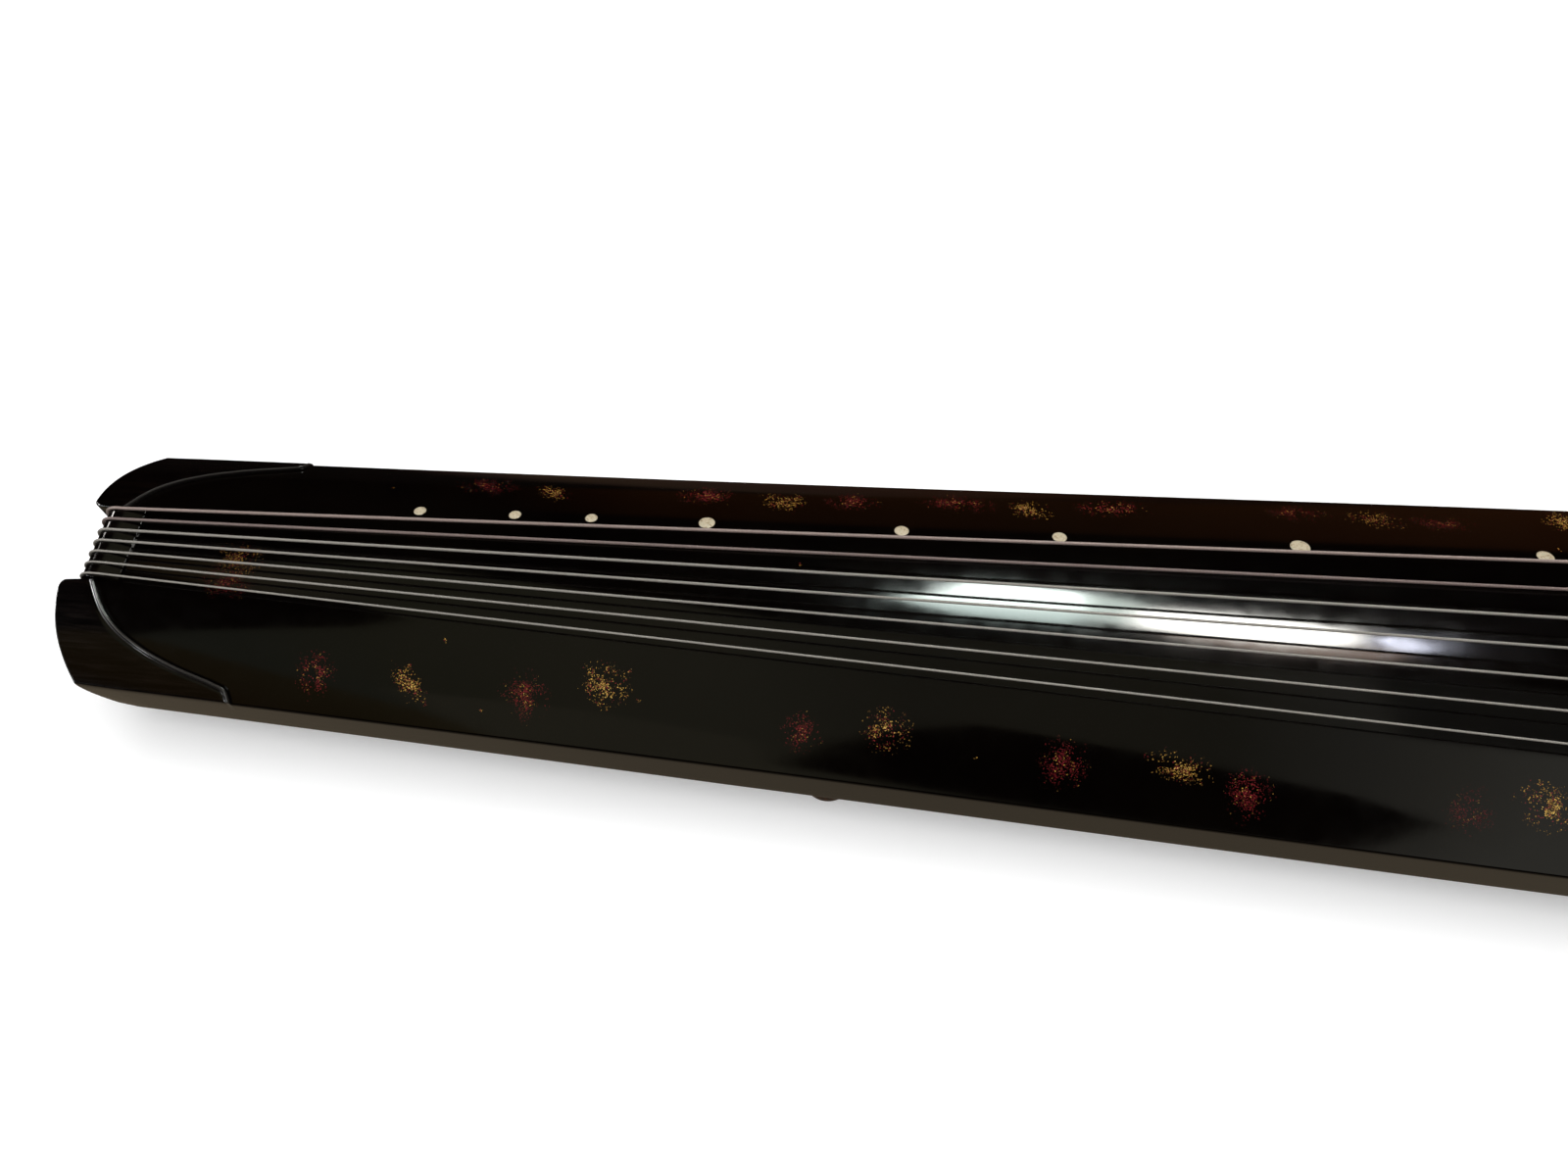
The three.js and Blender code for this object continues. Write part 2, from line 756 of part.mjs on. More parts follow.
// The turns on the foot: an arriving line that touches the neck, then a steady spiral downwards.
function windingPoints(index, from) {
  const radius = foot.neck + seat + strings.diameters[index] / 2;
  const side = index < strings.farFootCount ? 1 : -1;
  const start = windingStart(index);
  const pitch = turnPitch(index);
  const centre = new THREE.Vector2(crestX + footPlace, footOut);
  const towards = centre.clone().sub(new THREE.Vector2(from.x, side * from.y));
  const heading = towards.angle() - Math.asin(radius / towards.length());
  return spread(0, strings.windSteps, strings.windSteps).map((i) => {
    const turned = (i * 2 * Math.PI) / strings.turnSteps;
    const angle = heading - Math.PI / 2 + turned;
    return new THREE.Vector3(
      centre.x + radius * Math.cos(angle),
      side * (centre.y + radius * Math.sin(angle)),
      start - (pitch * i) / strings.turnSteps,
    );
  });
}

const windingGaps = [];

// A string: from its knot behind the bridge, over bridge and nut, down the tail, under the sill and
// along the underside to its foot.
function guqinString(index) {
  const radius = strings.diameters[index] / 2;
  const lift = radius + seat;
  const tailY = stringStep(index) * tailPitch;
  const headY = stringStep(index) * bridgePitch;
  const fall = bridge.fall * Math.pow(headY / (strings.bridgeSpread / 2), 2);
  const overBridge = boardTop + bridge.top - fall + lift;
  const overNut = boardTop + nut.crest + lift;
  const underSill = underside - sill.proud - lift;
  const at = (s, y, z) => new THREE.Vector3(crestX + s, y, z);
  const faceX = -notch.face - lift;
  const knot = at(bridgeBack + strings.knotRadius + seat, headY, overBridge - strings.knotRadius);
  const quarter = Math.PI / 2;
  const bend = (centreS, centreZ, round, from) => {
    const points = arc(centreS, centreZ, round + lift, from, from + quarter, strings.bendSteps);
    return points.map(([s, z]) => at(s, tailY, z));
  };
  const nutCentre = boardTop + nut.crest - nut.round;
  const sillCentre = underside - sill.proud + sill.round;
  const route = [
    knot,
    at(bridgeBack + radius, headY, overBridge - radius),
    at(bridgeBack - bridge.edge, headY, overBridge),
    at(strings.length + bridge.edge, headY, overBridge),
    at(0, tailY, overNut),
    ...bend(-notch.face + nut.round, nutCentre, nut.round, quarter),
    at(faceX, tailY, boardTop - body.arris),
    ...bend(-sill.reach + sill.round, sillCentre, sill.round, 2 * quarter),
    at(sill.front, tailY, underSill),
  ];
  const turns = windingPoints(index, route[route.length - 1]);
  windingGaps.push(leastGap(turns, strings.diameters[index], strings.turnSteps / 2));
  const wire = solid(tube([...route, ...turns], radius, strings.sides));
  const ball = new THREE.SphereGeometry(strings.knotRadius, 10, 6);
  return wire.add(solid(ball.translate(knot.x, knot.y, knot.z)));
}

// The upper part of a silk loop: up the bore and through the apron to just under the string's knot.
function silkLoop(index) {
  const boreY = stringStep(index) * pegPitch;
  const knotY = stringStep(index) * bridgePitch;
  const fall = bridge.fall * Math.pow(knotY / (strings.bridgeSpread / 2), 2);
  const knotX = bridgeBack + strings.knotRadius + seat;
  const knotLow = boardTop + bridge.top - fall - strings.knotRadius - strings.diameters[index] / 2;
  const apronTop = topAt(pegPlace, boreY) + seat + apron.thick;
  const inBore = (z) => new THREE.Vector3(crestX + pegPlace, boreY, z);
  const route = [
    inBore(pegTop + seat),
    inBore((pegTop + apronTop) / 2),
    inBore(apronTop + seat),
    new THREE.Vector3(crestX + knotX + seat, knotY, knotLow - silk.diameter / 2 - seat),
  ];
  return tube(route, silk.diameter / 2, silk.sides);
}

// The lower part of a silk loop: down the peg's bore, out at the side and round the neck.
function pegCord(index) {
  const y = stringStep(index) * pegPitch;
  const radius = peg.neckShare * peg.radius + seat + silk.diameter / 2;
  const pitch = silk.diameter + silk.turnGap;
  const at = (r, a, z) =>
    new THREE.Vector3(crestX + pegPlace + r * Math.cos(a), y + r * Math.sin(a), z);
  const bend = silk.diameter / 2;
  const start = Math.PI / silk.turnSteps;
  const turns = spread(0, silk.windSteps, silk.windSteps).map((i) => {
    const angle = start + (i * 2 * Math.PI) / silk.turnSteps;
    return at(radius, angle, cordLevel - (pitch * i) / silk.turnSteps);
  });
  windingGaps.push(leastGap(turns, silk.diameter, silk.turnSteps / 2));
  const route = [
    at(0, 0, pegTop - seat),
    at(0, 0, cordLevel + bend),
    at(bend, 0, cordLevel),
    at(radius - bend, 0, cordLevel),
  ];
  return tube([...route, ...turns], silk.diameter / 2, silk.sides);
}

// Lacquer, woods, shell, strings and silk.
const finish = {
  lacquer: { color: 0x0b0a09, roughness: 0.12, metalness: 0 },
  crownWood: { color: 0x100c0a, roughness: 0.18, metalness: 0 },
  hardwood: { color: 0x2a1812, roughness: 0.35, metalness: 0 },
  bareWood: { color: 0xb58f63, roughness: 0.7, metalness: 0 },
  shell: { color: 0xcdc0a9, roughness: 0.3, metalness: 0 },
  bassString: { color: 0xb59a8c, roughness: 0.4, metalness: 0.3 },
  paleString: { color: 0xb9b8b2, roughness: 0.4, metalness: 0.3 },
  silk: { color: 0x3b1f1a, roughness: 0.8, metalness: 0 },
};

const guqin = new THREE.Group();

function place(name, shape, look) {
  let geometry = shape;
  if (!shape.isBufferGeometry) {
    const mesh = shape.getMesh();
    const positions = new Float32Array(mesh.vertProperties);
    geometry = new THREE.BufferGeometry();
    geometry.setAttribute("position", new THREE.BufferAttribute(positions, 3));
    geometry.setIndex(new THREE.BufferAttribute(new Uint32Array(mesh.triVerts), 1));
    geometry.computeVertexNormals();
  }
  const mesh = new THREE.Mesh(geometry, new THREE.MeshStandardMaterial(finish[look]));
  mesh.name = name;
  guqin.add(mesh);
}

place("soundboard", soundboard(), "lacquer");
place("bottom_board", bottomBoard(), "lacquer");
place("crown_corner_near", crownCorner(-1), "crownWood");
place("crown_corner_far", crownCorner(1), "crownWood");
place("tail_nut", acrossBoard(nutProfile(0), 2 * (notchHalf - seat), 0), "crownWood");
place("tail_sill", acrossBoard(sillProfile(), 2 * sillHalf, 0), "crownWood");
place("bridge", bridgeBody(), "hardwood");
place("bridge_apron", bridgeApron(), "hardwood");
place("peg_pond_plate", pondPlate(), "hardwood");
place("dragon_pond_rim", holeRim(dragonPond), "hardwood");
place("phoenix_pool_rim", holeRim(phoenixPool), "hardwood");
for (const [name, side] of [["near", -1], ["far", 1]]) {
  place("goose_foot_" + name, gooseFoot(side), "hardwood");
  place("peg_guard_" + name, pegGuard(side), "hardwood");
}
studPlaceShares.forEach((share, i) => {
  const stud = studDisc(share, studRadii[i], studLine.proud, studLine.thick);
  place("hui_dot_" + (i + 1), stud, "shell");
});
for (let i = 0; i < stringCount; i++) {
  place("string_" + (i + 1), guqinString(i), i < 2 ? "bassString" : "paleString");
  place("silk_loop_" + (i + 1), silkLoop(i), "silk");
  place("tuning_peg_" + (i + 1), tuningPeg(i), "hardwood");
  place("peg_cord_" + (i + 1), pegCord(i), "silk");
}
const roundS = roundPost.placeShare * strings.length;
const squareS = squarePost.placeShare * strings.length;
const postTop = (s, half) => topAt(s, half) - cavity.top - 2 * seat;
place(
  "sound_post_round",
  cylinder(roundS, 0, roundPost.half, joint, postTop(roundS, roundPost.half), 16),
  "bareWood",
);
place(
  "sound_post_square",
  block(squareS, 0, 2 * squarePost.half, 2 * squarePost.half, joint, postTop(squareS, squarePost.half)),
  "bareWood",
);

console.log("least gap in a winding: " + Math.min(...windingGaps).toFixed(2) + " mm");

export default guqin;
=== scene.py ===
"""A seven-string guqin in black lacquer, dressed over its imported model.

Sizes in this file are millimetres until a mesh is made, which turns them to metres. X runs from
the tail to the head, Y towards the side with the shell studs, and Z is up from the floor.
Distances along the board, called s, are counted from the crest of the tail nut.
"""
import math

import bmesh
import bpy
import numpy as np
from mathutils import Matrix, Vector


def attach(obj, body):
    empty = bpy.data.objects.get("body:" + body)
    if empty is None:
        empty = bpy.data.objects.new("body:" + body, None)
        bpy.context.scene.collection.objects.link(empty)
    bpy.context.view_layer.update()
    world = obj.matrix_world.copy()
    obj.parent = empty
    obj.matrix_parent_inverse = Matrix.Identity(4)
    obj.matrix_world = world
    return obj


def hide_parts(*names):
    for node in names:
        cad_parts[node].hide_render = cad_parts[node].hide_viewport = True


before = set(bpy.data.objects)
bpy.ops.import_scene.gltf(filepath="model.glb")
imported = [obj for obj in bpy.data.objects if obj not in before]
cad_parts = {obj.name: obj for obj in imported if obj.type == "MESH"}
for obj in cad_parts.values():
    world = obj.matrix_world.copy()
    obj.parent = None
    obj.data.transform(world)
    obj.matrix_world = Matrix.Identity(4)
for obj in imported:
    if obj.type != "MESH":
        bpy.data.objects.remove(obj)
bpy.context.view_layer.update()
scene = bpy.context.scene

MM = 0.001
BODY = "guqin_body"

# Sizes of the solids that the finer pieces follow.
STRING_LENGTH = 1120
CREST_X = -597
BOARD_TOP = 75
UNDERSIDE = 28
JOINT = 37
ARRIS_DROP = 23
TAIL_REACH = 19.4
HEAD_END = 1213.4
HEAD_CORNER = 14
SHOULDER_HALF = 98.6
UNDERCUT = 10.6
TAIL_LEAN = 1.8
LEAN_END = 0.27
SIDE_HEIGHT = 24
DIP = 5
DIP_START = 0.72
ARCH_POWER = 2.2
HAIRLINE = 0.15

# Half-width along each side: share of the string length, share of the half-width at the shoulder.
PLAN = np.array([
    (-0.02, 0.652), (0, 0.659), (0.15, 0.722), (0.3, 0.79), (0.45, 0.866), (0.6, 0.941),
    (0.71, 0.986), (0.77, 1), (0.84, 0.976), (0.9, 0.91), (0.955, 0.872), (1, 0.868),
    (1.045, 0.878), (1.09, 0.88),
])

# Tail: crown corners, notch, nut and sill.
NOTCH_HALF = 19.3
NOTCH_FLARE = 1.1
NOTCH_FACE = 11
TIP_ROUND = 3.8
TIP_HALF = 26.2
TAIL_SETBACK = 12.6
TAIL_POWER = 2.1
CROWN_LENGTH = 69
CROWN_PROUD = 2
CROWN_THICK = 7
CROWN_LINE = np.array([
    (-0.045, 0), (0.038, 0.215), (0.1, 0.34), (0.2, 0.47), (0.3, 0.56), (0.43, 0.65), (0.635, 0.752),
    (0.8, 0.812), (0.9, 0.85), (0.985, 0.905), (1.02, 1.04),
])
NUT_CREST = 2.6
NUT_ROUND = 7
SILL_PROUD = 2
SILL_ROUND = 5
SILL_REACH = 8
SILL_FRONT = 12

# Head: bridge, apron, pegs and guards.
BRIDGE_THICK = 12
BRIDGE_TOP = 12.2
BRIDGE_FALL = 3.15
BRIDGE_HALF = 78
BRIDGE_END_RUN = 9
BRIDGE_END_HEIGHT = 4
APRON_START = 1132.3
APRON_LENGTH = 23
APRON_THICK = 3.5
PEG_PLACE = 1143.8
BORE = 2
BORE_FROM = 30
BORE_TO = 90
CORD_BORE = 1.7
POND_LENGTH = 148
POND_WIDTH = 30
POND_CORNER = 10
PLATE_TOP = 42.7
PLATE_BOTTOM = 39.7
PEG_TOP = 39.4
PEG_LENGTH = 36
PEG_RADIUS = 7.4
PEG_NECK = 4.6
PEG_CORD_LEVEL = PEG_TOP - 0.26 * PEG_LENGTH
GUARD_LENGTH = 40
GUARD_THICK = 10
GUARD_PLACE = 80.5

# Sound holes: distance of the centre from the crest, length, width.
SOUND_HOLES = {"dragon_pond": (697.2, 210, 28), "phoenix_pool": (210, 105, 25)}
RIM_WIDTH = 4

# Strings and feet.
STRING_DIAMETERS = [1.6, 1.5, 1.4, 1.3, 1.2, 1.1, 1.0]
TAIL_PITCH = 6
BRIDGE_PITCH = 21
STRING_TURNS = 1.875
TURN_GAP = 0.5
ON_FAR_FOOT = 4
FOOT_PLACE = 347.2
FOOT_OUT = 58
FOOT_NECK = 9
SILK = 1.8

# Shell studs: share of the string length from the crest, radius.
STUDS = [
    (7 / 8, 3), (5 / 6, 3), (4 / 5, 3), (3 / 4, 4), (2 / 3, 3.4), (3 / 5, 4), (1 / 2, 4.7),
    (2 / 5, 3.5), (1 / 3, 3.5), (1 / 4, 4), (1 / 5, 3), (1 / 6, 3), (1 / 8, 3),
]
STUD_LINE = (28, 75.4)


# The photograph's view: a phone held over the tail half, a little to the player's side.
def make_camera():
    azimuth, elevation, roll = (math.radians(a) for a in (8.80, 61.13, -3.27))
    ahead = Vector((
        -math.sin(azimuth) * math.cos(elevation),
        math.cos(azimuth) * math.cos(elevation),
        -math.sin(elevation),
    ))
    right = ahead.cross(Vector((0, 0, 1))).normalized()
    down = ahead.cross(right)
    turned_right = math.cos(roll) * right - math.sin(roll) * down
    turned_down = math.sin(roll) * right + math.cos(roll) * down
    data = bpy.data.cameras.new("phone_camera")
    data.lens = 28.5
    data.sensor_width = 36
    data.clip_start = 0.01
    camera = bpy.data.objects.new("phone_camera", data)
    columns = Matrix((turned_right, -turned_down, -ahead)).transposed().to_4x4()
    camera.matrix_world = Matrix.Translation((-0.2336, -0.2685, 0.5758)) @ columns
    scene.collection.objects.link(camera)
    scene.camera = camera


make_camera()


# The board's form, as formulas of s and y that take numbers or arrays.
def smooth_share(table, at):
    """A cubic through the table's points, with slopes from their neighbours."""
    places, values = table[:, 0], table[:, 1]
    at = np.clip(np.asarray(at, float), places[0], places[-1])
    before = np.concatenate(([0], np.arange(len(places) - 1)))
    after = np.concatenate((np.arange(1, len(places)), [len(places) - 1]))
    slopes = (values[after] - values[before]) / (places[after] - places[before])
    i = np.clip(np.searchsorted(places, at, side="right") - 1, 0, len(places) - 2)
    step = places[i + 1] - places[i]
    t = (at - places[i]) / step
    rise = values[i + 1] - values[i]
    start, end = slopes[i] * step, slopes[i + 1] * step
    curve = t * start + t**2 * (3 * rise - 2 * start - end) + t**3 * (start + end - 2 * rise)
    return values[i] + curve


def half_width(s):
    return SHOULDER_HALF * smooth_share(PLAN, np.asarray(s, float) / STRING_LENGTH)


def top_at(s, y):
    """Height of the arched top, which dips a little on the centre line towards the head."""
    t = np.clip((np.asarray(s, float) / STRING_LENGTH - DIP_START) / (1 - DIP_START), 0, 1)
    dip = DIP * t * t * (3 - 2 * t)
    arch = (np.abs(y) / half_width(s)) ** ARCH_POWER
    return BOARD_TOP - dip - (ARRIS_DROP - dip) * arch


def tail_end(y):
    span = half_width(-TAIL_REACH) - TIP_HALF
    share = np.clip((np.abs(y) - TIP_HALF) / span, 0, 1)
    return -TAIL_REACH + TAIL_SETBACK * share**TAIL_POWER


def drawn_in(s, z):
    """How far the tail's end goes towards the head at a height, as it narrows to the underside."""
    corner = -TAIL_REACH + TAIL_SETBACK
    weight = np.clip((TAIL_SETBACK - np.asarray(s, float)) / (TAIL_SETBACK - corner), 0, 1)
    depth = np.clip((UNDERSIDE + SIDE_HEIGHT - np.asarray(z, float)) / SIDE_HEIGHT, 0, 1)
    return weight * UNDERCUT * depth**2


def leant(s, y, z):
    """Where a place goes across the board at a height, as the sides lean in at the tail."""
    tail = np.clip(1 - np.asarray(s, float) / (LEAN_END * STRING_LENGTH), 0, 1)
    out = np.clip((np.abs(y) - TIP_HALF) / (half_width(s) - TIP_HALF), 0, 1)
    depth = np.clip((UNDERSIDE + SIDE_HEIGHT - np.asarray(z, float)) / SIDE_HEIGHT, 0, 1)
    return y - np.sign(y) * TAIL_LEAN * tail * out * depth


def rounding(distance, radius):
    """How far a rounded edge lies below the surface at a distance from the outline."""
    inward = radius - np.clip(distance, 0, radius)
    return radius - np.sqrt(np.maximum(radius**2 - inward**2, 0))


def edge_distance(s, y, outline, closed=True):
    """Distance of points to an outline of straight steps."""
    starts = np.asarray(outline, float)
    ends = np.roll(starts, -1, axis=0)
    if not closed:
        starts, ends = starts[:-1], ends[:-1]
    steps = ends - starts
    lengths = np.maximum((steps**2).sum(axis=1), 1e-12)
    points = np.stack([np.ravel(s), np.ravel(y)], axis=1)
    nearest = np.full(len(points), np.inf)
    for start, step, length in zip(starts, steps, lengths):
        away = points - start
        share = np.clip(away @ step / length, 0, 1)
        gap = away - share[:, None] * step
        nearest = np.minimum(nearest, (gap**2).sum(axis=1))
    return np.sqrt(nearest).reshape(np.shape(s))


# Meshes.
def new_piece(name, points, faces, material=None):
    """An object at the origin from points in millimetres, with its faces turned outwards."""
    mesh = bpy.data.meshes.new(name)
    mesh.from_pydata((np.asarray(points, float) * MM).tolist(), [], faces)
    work = bmesh.new()
    work.from_mesh(mesh)
    bmesh.ops.remove_doubles(work, verts=work.verts, dist=1e-7)
    bmesh.ops.dissolve_degenerate(work, edges=work.edges, dist=1e-7)
    bmesh.ops.recalc_face_normals(work, faces=work.faces)
    work.to_mesh(mesh)
    work.free()
    piece = bpy.data.objects.new(name, mesh)
    scene.collection.objects.link(piece)
    if material:
        mesh.materials.append(material)
    return piece


def settle(piece):
    """Turns a piece with its modifiers into a plain mesh."""
    graph = bpy.context.evaluated_depsgraph_get()
    mesh = bpy.data.meshes.new_from_object(piece.evaluated_get(graph))
    piece.modifiers.clear()
    old = piece.data
    piece.data = mesh
    mesh.name = piece.name
    bpy.data.meshes.remove(old)
    return piece


def shade(piece, angle=32):
    piece.data.shade_smooth()
    piece.data.set_sharp_from_angle(angle=math.radians(angle))
    return piece


def even_normals(piece):
    """Lets the large faces lead the shading beside rounded edges."""
    weighted = piece.modifiers.new("even", "WEIGHTED_NORMAL")
    weighted.keep_sharp = True
    weighted.weight = 100
    return settle(piece)


def soften(piece, width, steps=3, angle=40):
    """Rounds a piece's corners."""
    bevel = piece.modifiers.new("round", "BEVEL")
    bevel.width = width * MM
    bevel.segments = steps
    bevel.limit_method = "ANGLE"
    bevel.angle_limit = math.radians(angle)
    bevel.harden_normals = False
    return settle(piece)


def cut(piece, *tools):
    """Takes the tools away from a piece. The new faces keep each tool's material."""
    for tool in tools:
        boolean = piece.modifiers.new("cut", "BOOLEAN")
        boolean.operation = "DIFFERENCE"
        boolean.object = tool
        boolean.solver = "MANIFOLD"
        boolean.material_mode = "TRANSFER"
    settle(piece)
    for tool in tools:
        bpy.data.objects.remove(tool)
    return piece


def joined(name, pieces):
    """Several pieces as one mesh."""
    work = bmesh.new()
    for piece in pieces:
        work.from_mesh(piece.data)
    mesh = bpy.data.meshes.new(name)
    work.to_mesh(mesh)
    work.free()
    for material in pieces[0].data.materials:
        mesh.materials.append(material)
    for piece in pieces:
        bpy.data.objects.remove(piece)
    whole = bpy.data.objects.new(name, mesh)
    scene.collection.objects.link(whole)
    return whole


def panel(name, s, y, top, low, levels=1, material=None, undercut=True):
    """A closed block over a grid of plan places, between two heights at each place."""
    rows, columns = s.shape

    def points(z):
        if not undercut:
            return np.stack([CREST_X + s, y, z], axis=-1)
        return np.stack([CREST_X + s + drawn_in(s, z), leant(s, y, z), z], axis=-1)

    grid = np.arange(rows * columns).reshape(rows, columns)
    rim = np.concatenate([grid[0], grid[1:, -1], grid[-1, -2::-1], grid[-2:0:-1, 0]])
    vertices = [points(top).reshape(-1, 3), points(low).reshape(-1, 3)]
    rings = [rim]
    for level in range(1, levels):
        z = top + (low - top) * level / levels
        vertices.append(points(z).reshape(-1, 3)[rim])
        rings.append(2 * rows * columns + (level - 1) * len(rim) + np.arange(len(rim)))
    rings.append(rows * columns + rim)
    quads = np.stack([grid[:-1, :-1], grid[1:, :-1], grid[1:, 1:], grid[:-1, 1:]], axis=-1)
    faces = quads.reshape(-1, 4).tolist()
    faces += (quads[..., ::-1] + rows * columns).reshape(-1, 4).tolist()
    for upper, lower in zip(rings, rings[1:]):
        walls = np.stack([upper, np.roll(upper, -1), np.roll(lower, -1), lower], axis=-1)
        faces += walls.tolist()
    return new_piece(name, np.concatenate(vertices), faces, material)


def prism(name, outline, low, high, material=None):
    """An upright block over a plan outline."""
    count = len(outline)
    base = [(CREST_X + s, y) for s, y in outline]
    points = [(x, y, z) for z in (low, high) for x, y in base]
    faces = [list(range(count))[::-1], [count + i for i in range(count)]]
    for i in range(count):
        j = (i + 1) % count
        faces.append([i, j, count + j, count + i])
    return new_piece(name, points, faces, material)


def across(name, profile, half, centre=0, material=None):
    """A profile of s and height carried across the board."""
    count = len(profile)
    points = [
        (CREST_X + s, centre + side * half, z) for side in (-1, 1) for s, z in profile
    ]
    faces = [list(range(count)), [count + i for i in range(count)][::-1]]
    for i in range(count):
        j = (i + 1) % count
        faces.append([i, count + i, count + j, j])
    return new_piece(name, points, faces, material)


def arc(centre_s, centre_z, radius, start, end, steps):
    angles = np.linspace(math.radians(start), math.radians(end), steps + 1)
    return [(centre_s + radius * math.cos(a), centre_z + radius * math.sin(a)) for a in angles]


def round_block(centre, length, width, corner, steps=12):
    """A rectangle with round corners, as a plan outline."""
    along, side = length / 2 - corner, width / 2 - corner
    return (
        arc(centre + along, side, corner, 0, 90, steps)
        + arc(centre - along, side, corner, 90, 180, steps)
        + arc(centre - along, -side, corner, 180, 270, steps)
        + arc(centre + along, -side, corner, 270, 360, steps)
    )


def turned(name, profile, s, y, material=None, sides=64, shape=None):
    """A lathe-turned piece about an upright axis: profile of radius and height, from one end to the
    other. shape(angle, z) scales the radius."""
    profile = np.asarray(profile, float)
    angles = np.linspace(0, 2 * math.pi, sides, endpoint=False)
    points = []
    for radius, z in profile:
        scale = shape(angles, z) if shape else np.ones(sides)
        ring = np.stack([
            CREST_X + s + radius * scale * np.cos(angles),
            y + radius * scale * np.sin(angles),
            np.full(sides, z),
        ], axis=1)
        points.append(ring)
    faces = []
    for i in range(len(profile) - 1):
        for j in range(sides):
            k = (j + 1) % sides
            faces.append([i * sides + j, i * sides + k, (i + 1) * sides + k, (i + 1) * sides + j])
    return new_piece(name, np.concatenate(points), faces, material)


def tube(name, path, radius, sides=12, material=None, closed=False, ridges=0, lay=0, depth=0):
    """A tube along points in millimetres, with a map of its length and way round in metres.
    ridges strands of a twisted cord go round it once in every lay millimetres."""
    path = np.asarray(path, float)
    steps = np.diff(path, axis=0, append=path[:1] if closed else path[-1:])
    if not closed:
        steps[-1] = steps[-2]
    ahead = steps / np.linalg.norm(steps, axis=1)[:, None]
    before = np.roll(ahead, 1, axis=0) if closed else np.vstack([ahead[:1], ahead[:-1]])
    tangent = ahead + before
    tangent /= np.linalg.norm(tangent, axis=1)[:, None]
    side = np.cross(tangent[0], (0.3, 0.2, 1))
    frames = []
    for i, along in enumerate(tangent):
        side = side - along * side.dot(along)
        side /= np.linalg.norm(side)
        frames.append((side.copy(), np.cross(along, side)))
    lengths = np.linalg.norm(np.diff(path, axis=0), axis=1)
    run = np.concatenate([[0], np.cumsum(lengths)])
    angles = np.linspace(0, 2 * math.pi, sides, endpoint=False)
    points = []
    for place, (u, v), distance in zip(path, frames, run):
        reach = np.full(sides, float(radius))
        if ridges:
            phase = ridges * (angles - 2 * math.pi * distance / lay) / 2
            reach = radius * (1 - depth * (1 - np.abs(np.cos(phase))))
        ring = place + reach[:, None] * (
            np.cos(angles)[:, None] * u + np.sin(angles)[:, None] * v
        )
        points.append(ring)
    count = len(path)
    faces, corners = [], []
    for i in range(count if closed else count - 1):
        for j in range(sides):
            n, k = (i + 1) % count, (j + 1) % sides
            faces.append([i * sides + j, i * sides + k, n * sides + k, n * sides + j])
            low, high = run[i], run[i + 1] if i + 1 < count else run[i] + 1
            round_low, round_high = radius * angles[j], radius * (angles[j] + angles[1])
            corners += [(round_low, low), (round_high, low), (round_high, high), (round_low, high)]
    if not closed:
        for ring in (list(range(sides))[::-1], [(count - 1) * sides + j for j in range(sides)]):
            faces.append(ring)
            corners += [(0, 0)] * sides
    mesh = bpy.data.meshes.new(name)
    mesh.from_pydata((np.concatenate(points) * MM).tolist(), [], faces)
    layer = mesh.uv_layers.new(name="along")
    layer.data.foreach_set("uv", (np.array(corners) * MM).ravel())
    mesh.shade_smooth()
    if material:
        mesh.materials.append(material)
    piece = bpy.data.objects.new(name, mesh)
    scene.collection.objects.link(piece)
    return piece


# Materials.
def linear(code):
    """A colour of six hex digits in sRGB as linear light."""
    parts = [int(code[i:i + 2], 16) / 255 for i in (0, 2, 4)]
    return [p / 12.92 if p <= 0.04045 else ((p + 0.055) / 1.055) ** 2.4 for p in parts] + [1]


def add(tree, kind, inputs=None, stops=(), **settings):
    """Adds a node. An input takes a value, a node, or a node and the name or number of its output.
    stops are a colour ramp's places and hex colours."""
    node = tree.nodes.new(kind)
    for name, value in settings.items():
        setattr(node, name, value)
    for name, value in (inputs or {}).items():
        source = value[0] if isinstance(value, tuple) else value
        if isinstance(source, bpy.types.Node):
            output = value[1] if isinstance(value, tuple) else 0
            tree.links.new(source.outputs[output], node.inputs[name])
        else:
            node.inputs[name].default_value = value
    for i, (place, code) in enumerate(stops):
        if i >= len(node.color_ramp.elements):
            node.color_ramp.elements.new(place)
        node.color_ramp.elements[i].position = place
        node.color_ramp.elements[i].color = linear(code)
    return node


def new_finish(name, **values):
    """A material with its shader's own values. Returns it, its nodes and the shader."""
    material = bpy.data.materials.new(name)
    material.use_nodes = True
    tree = material.node_tree
    shader = tree.nodes["Principled BSDF"]
    for socket, value in values.items():
        shader.inputs[socket.replace("_", " ")].default_value = value
    return material, tree, shader


def connect(tree, shader, **sources):
    """Links nodes to the shader's inputs."""
    for socket, node in sources.items():
        output = node.outputs["Color"] if "Color" in node.outputs else node.outputs[0]
        tree.links.new(output, shader.inputs[socket.replace("_", " ")])


def per_metre(millimetres):
    """The texture scale that gives features of a real size."""
    return 1000 / millimetres


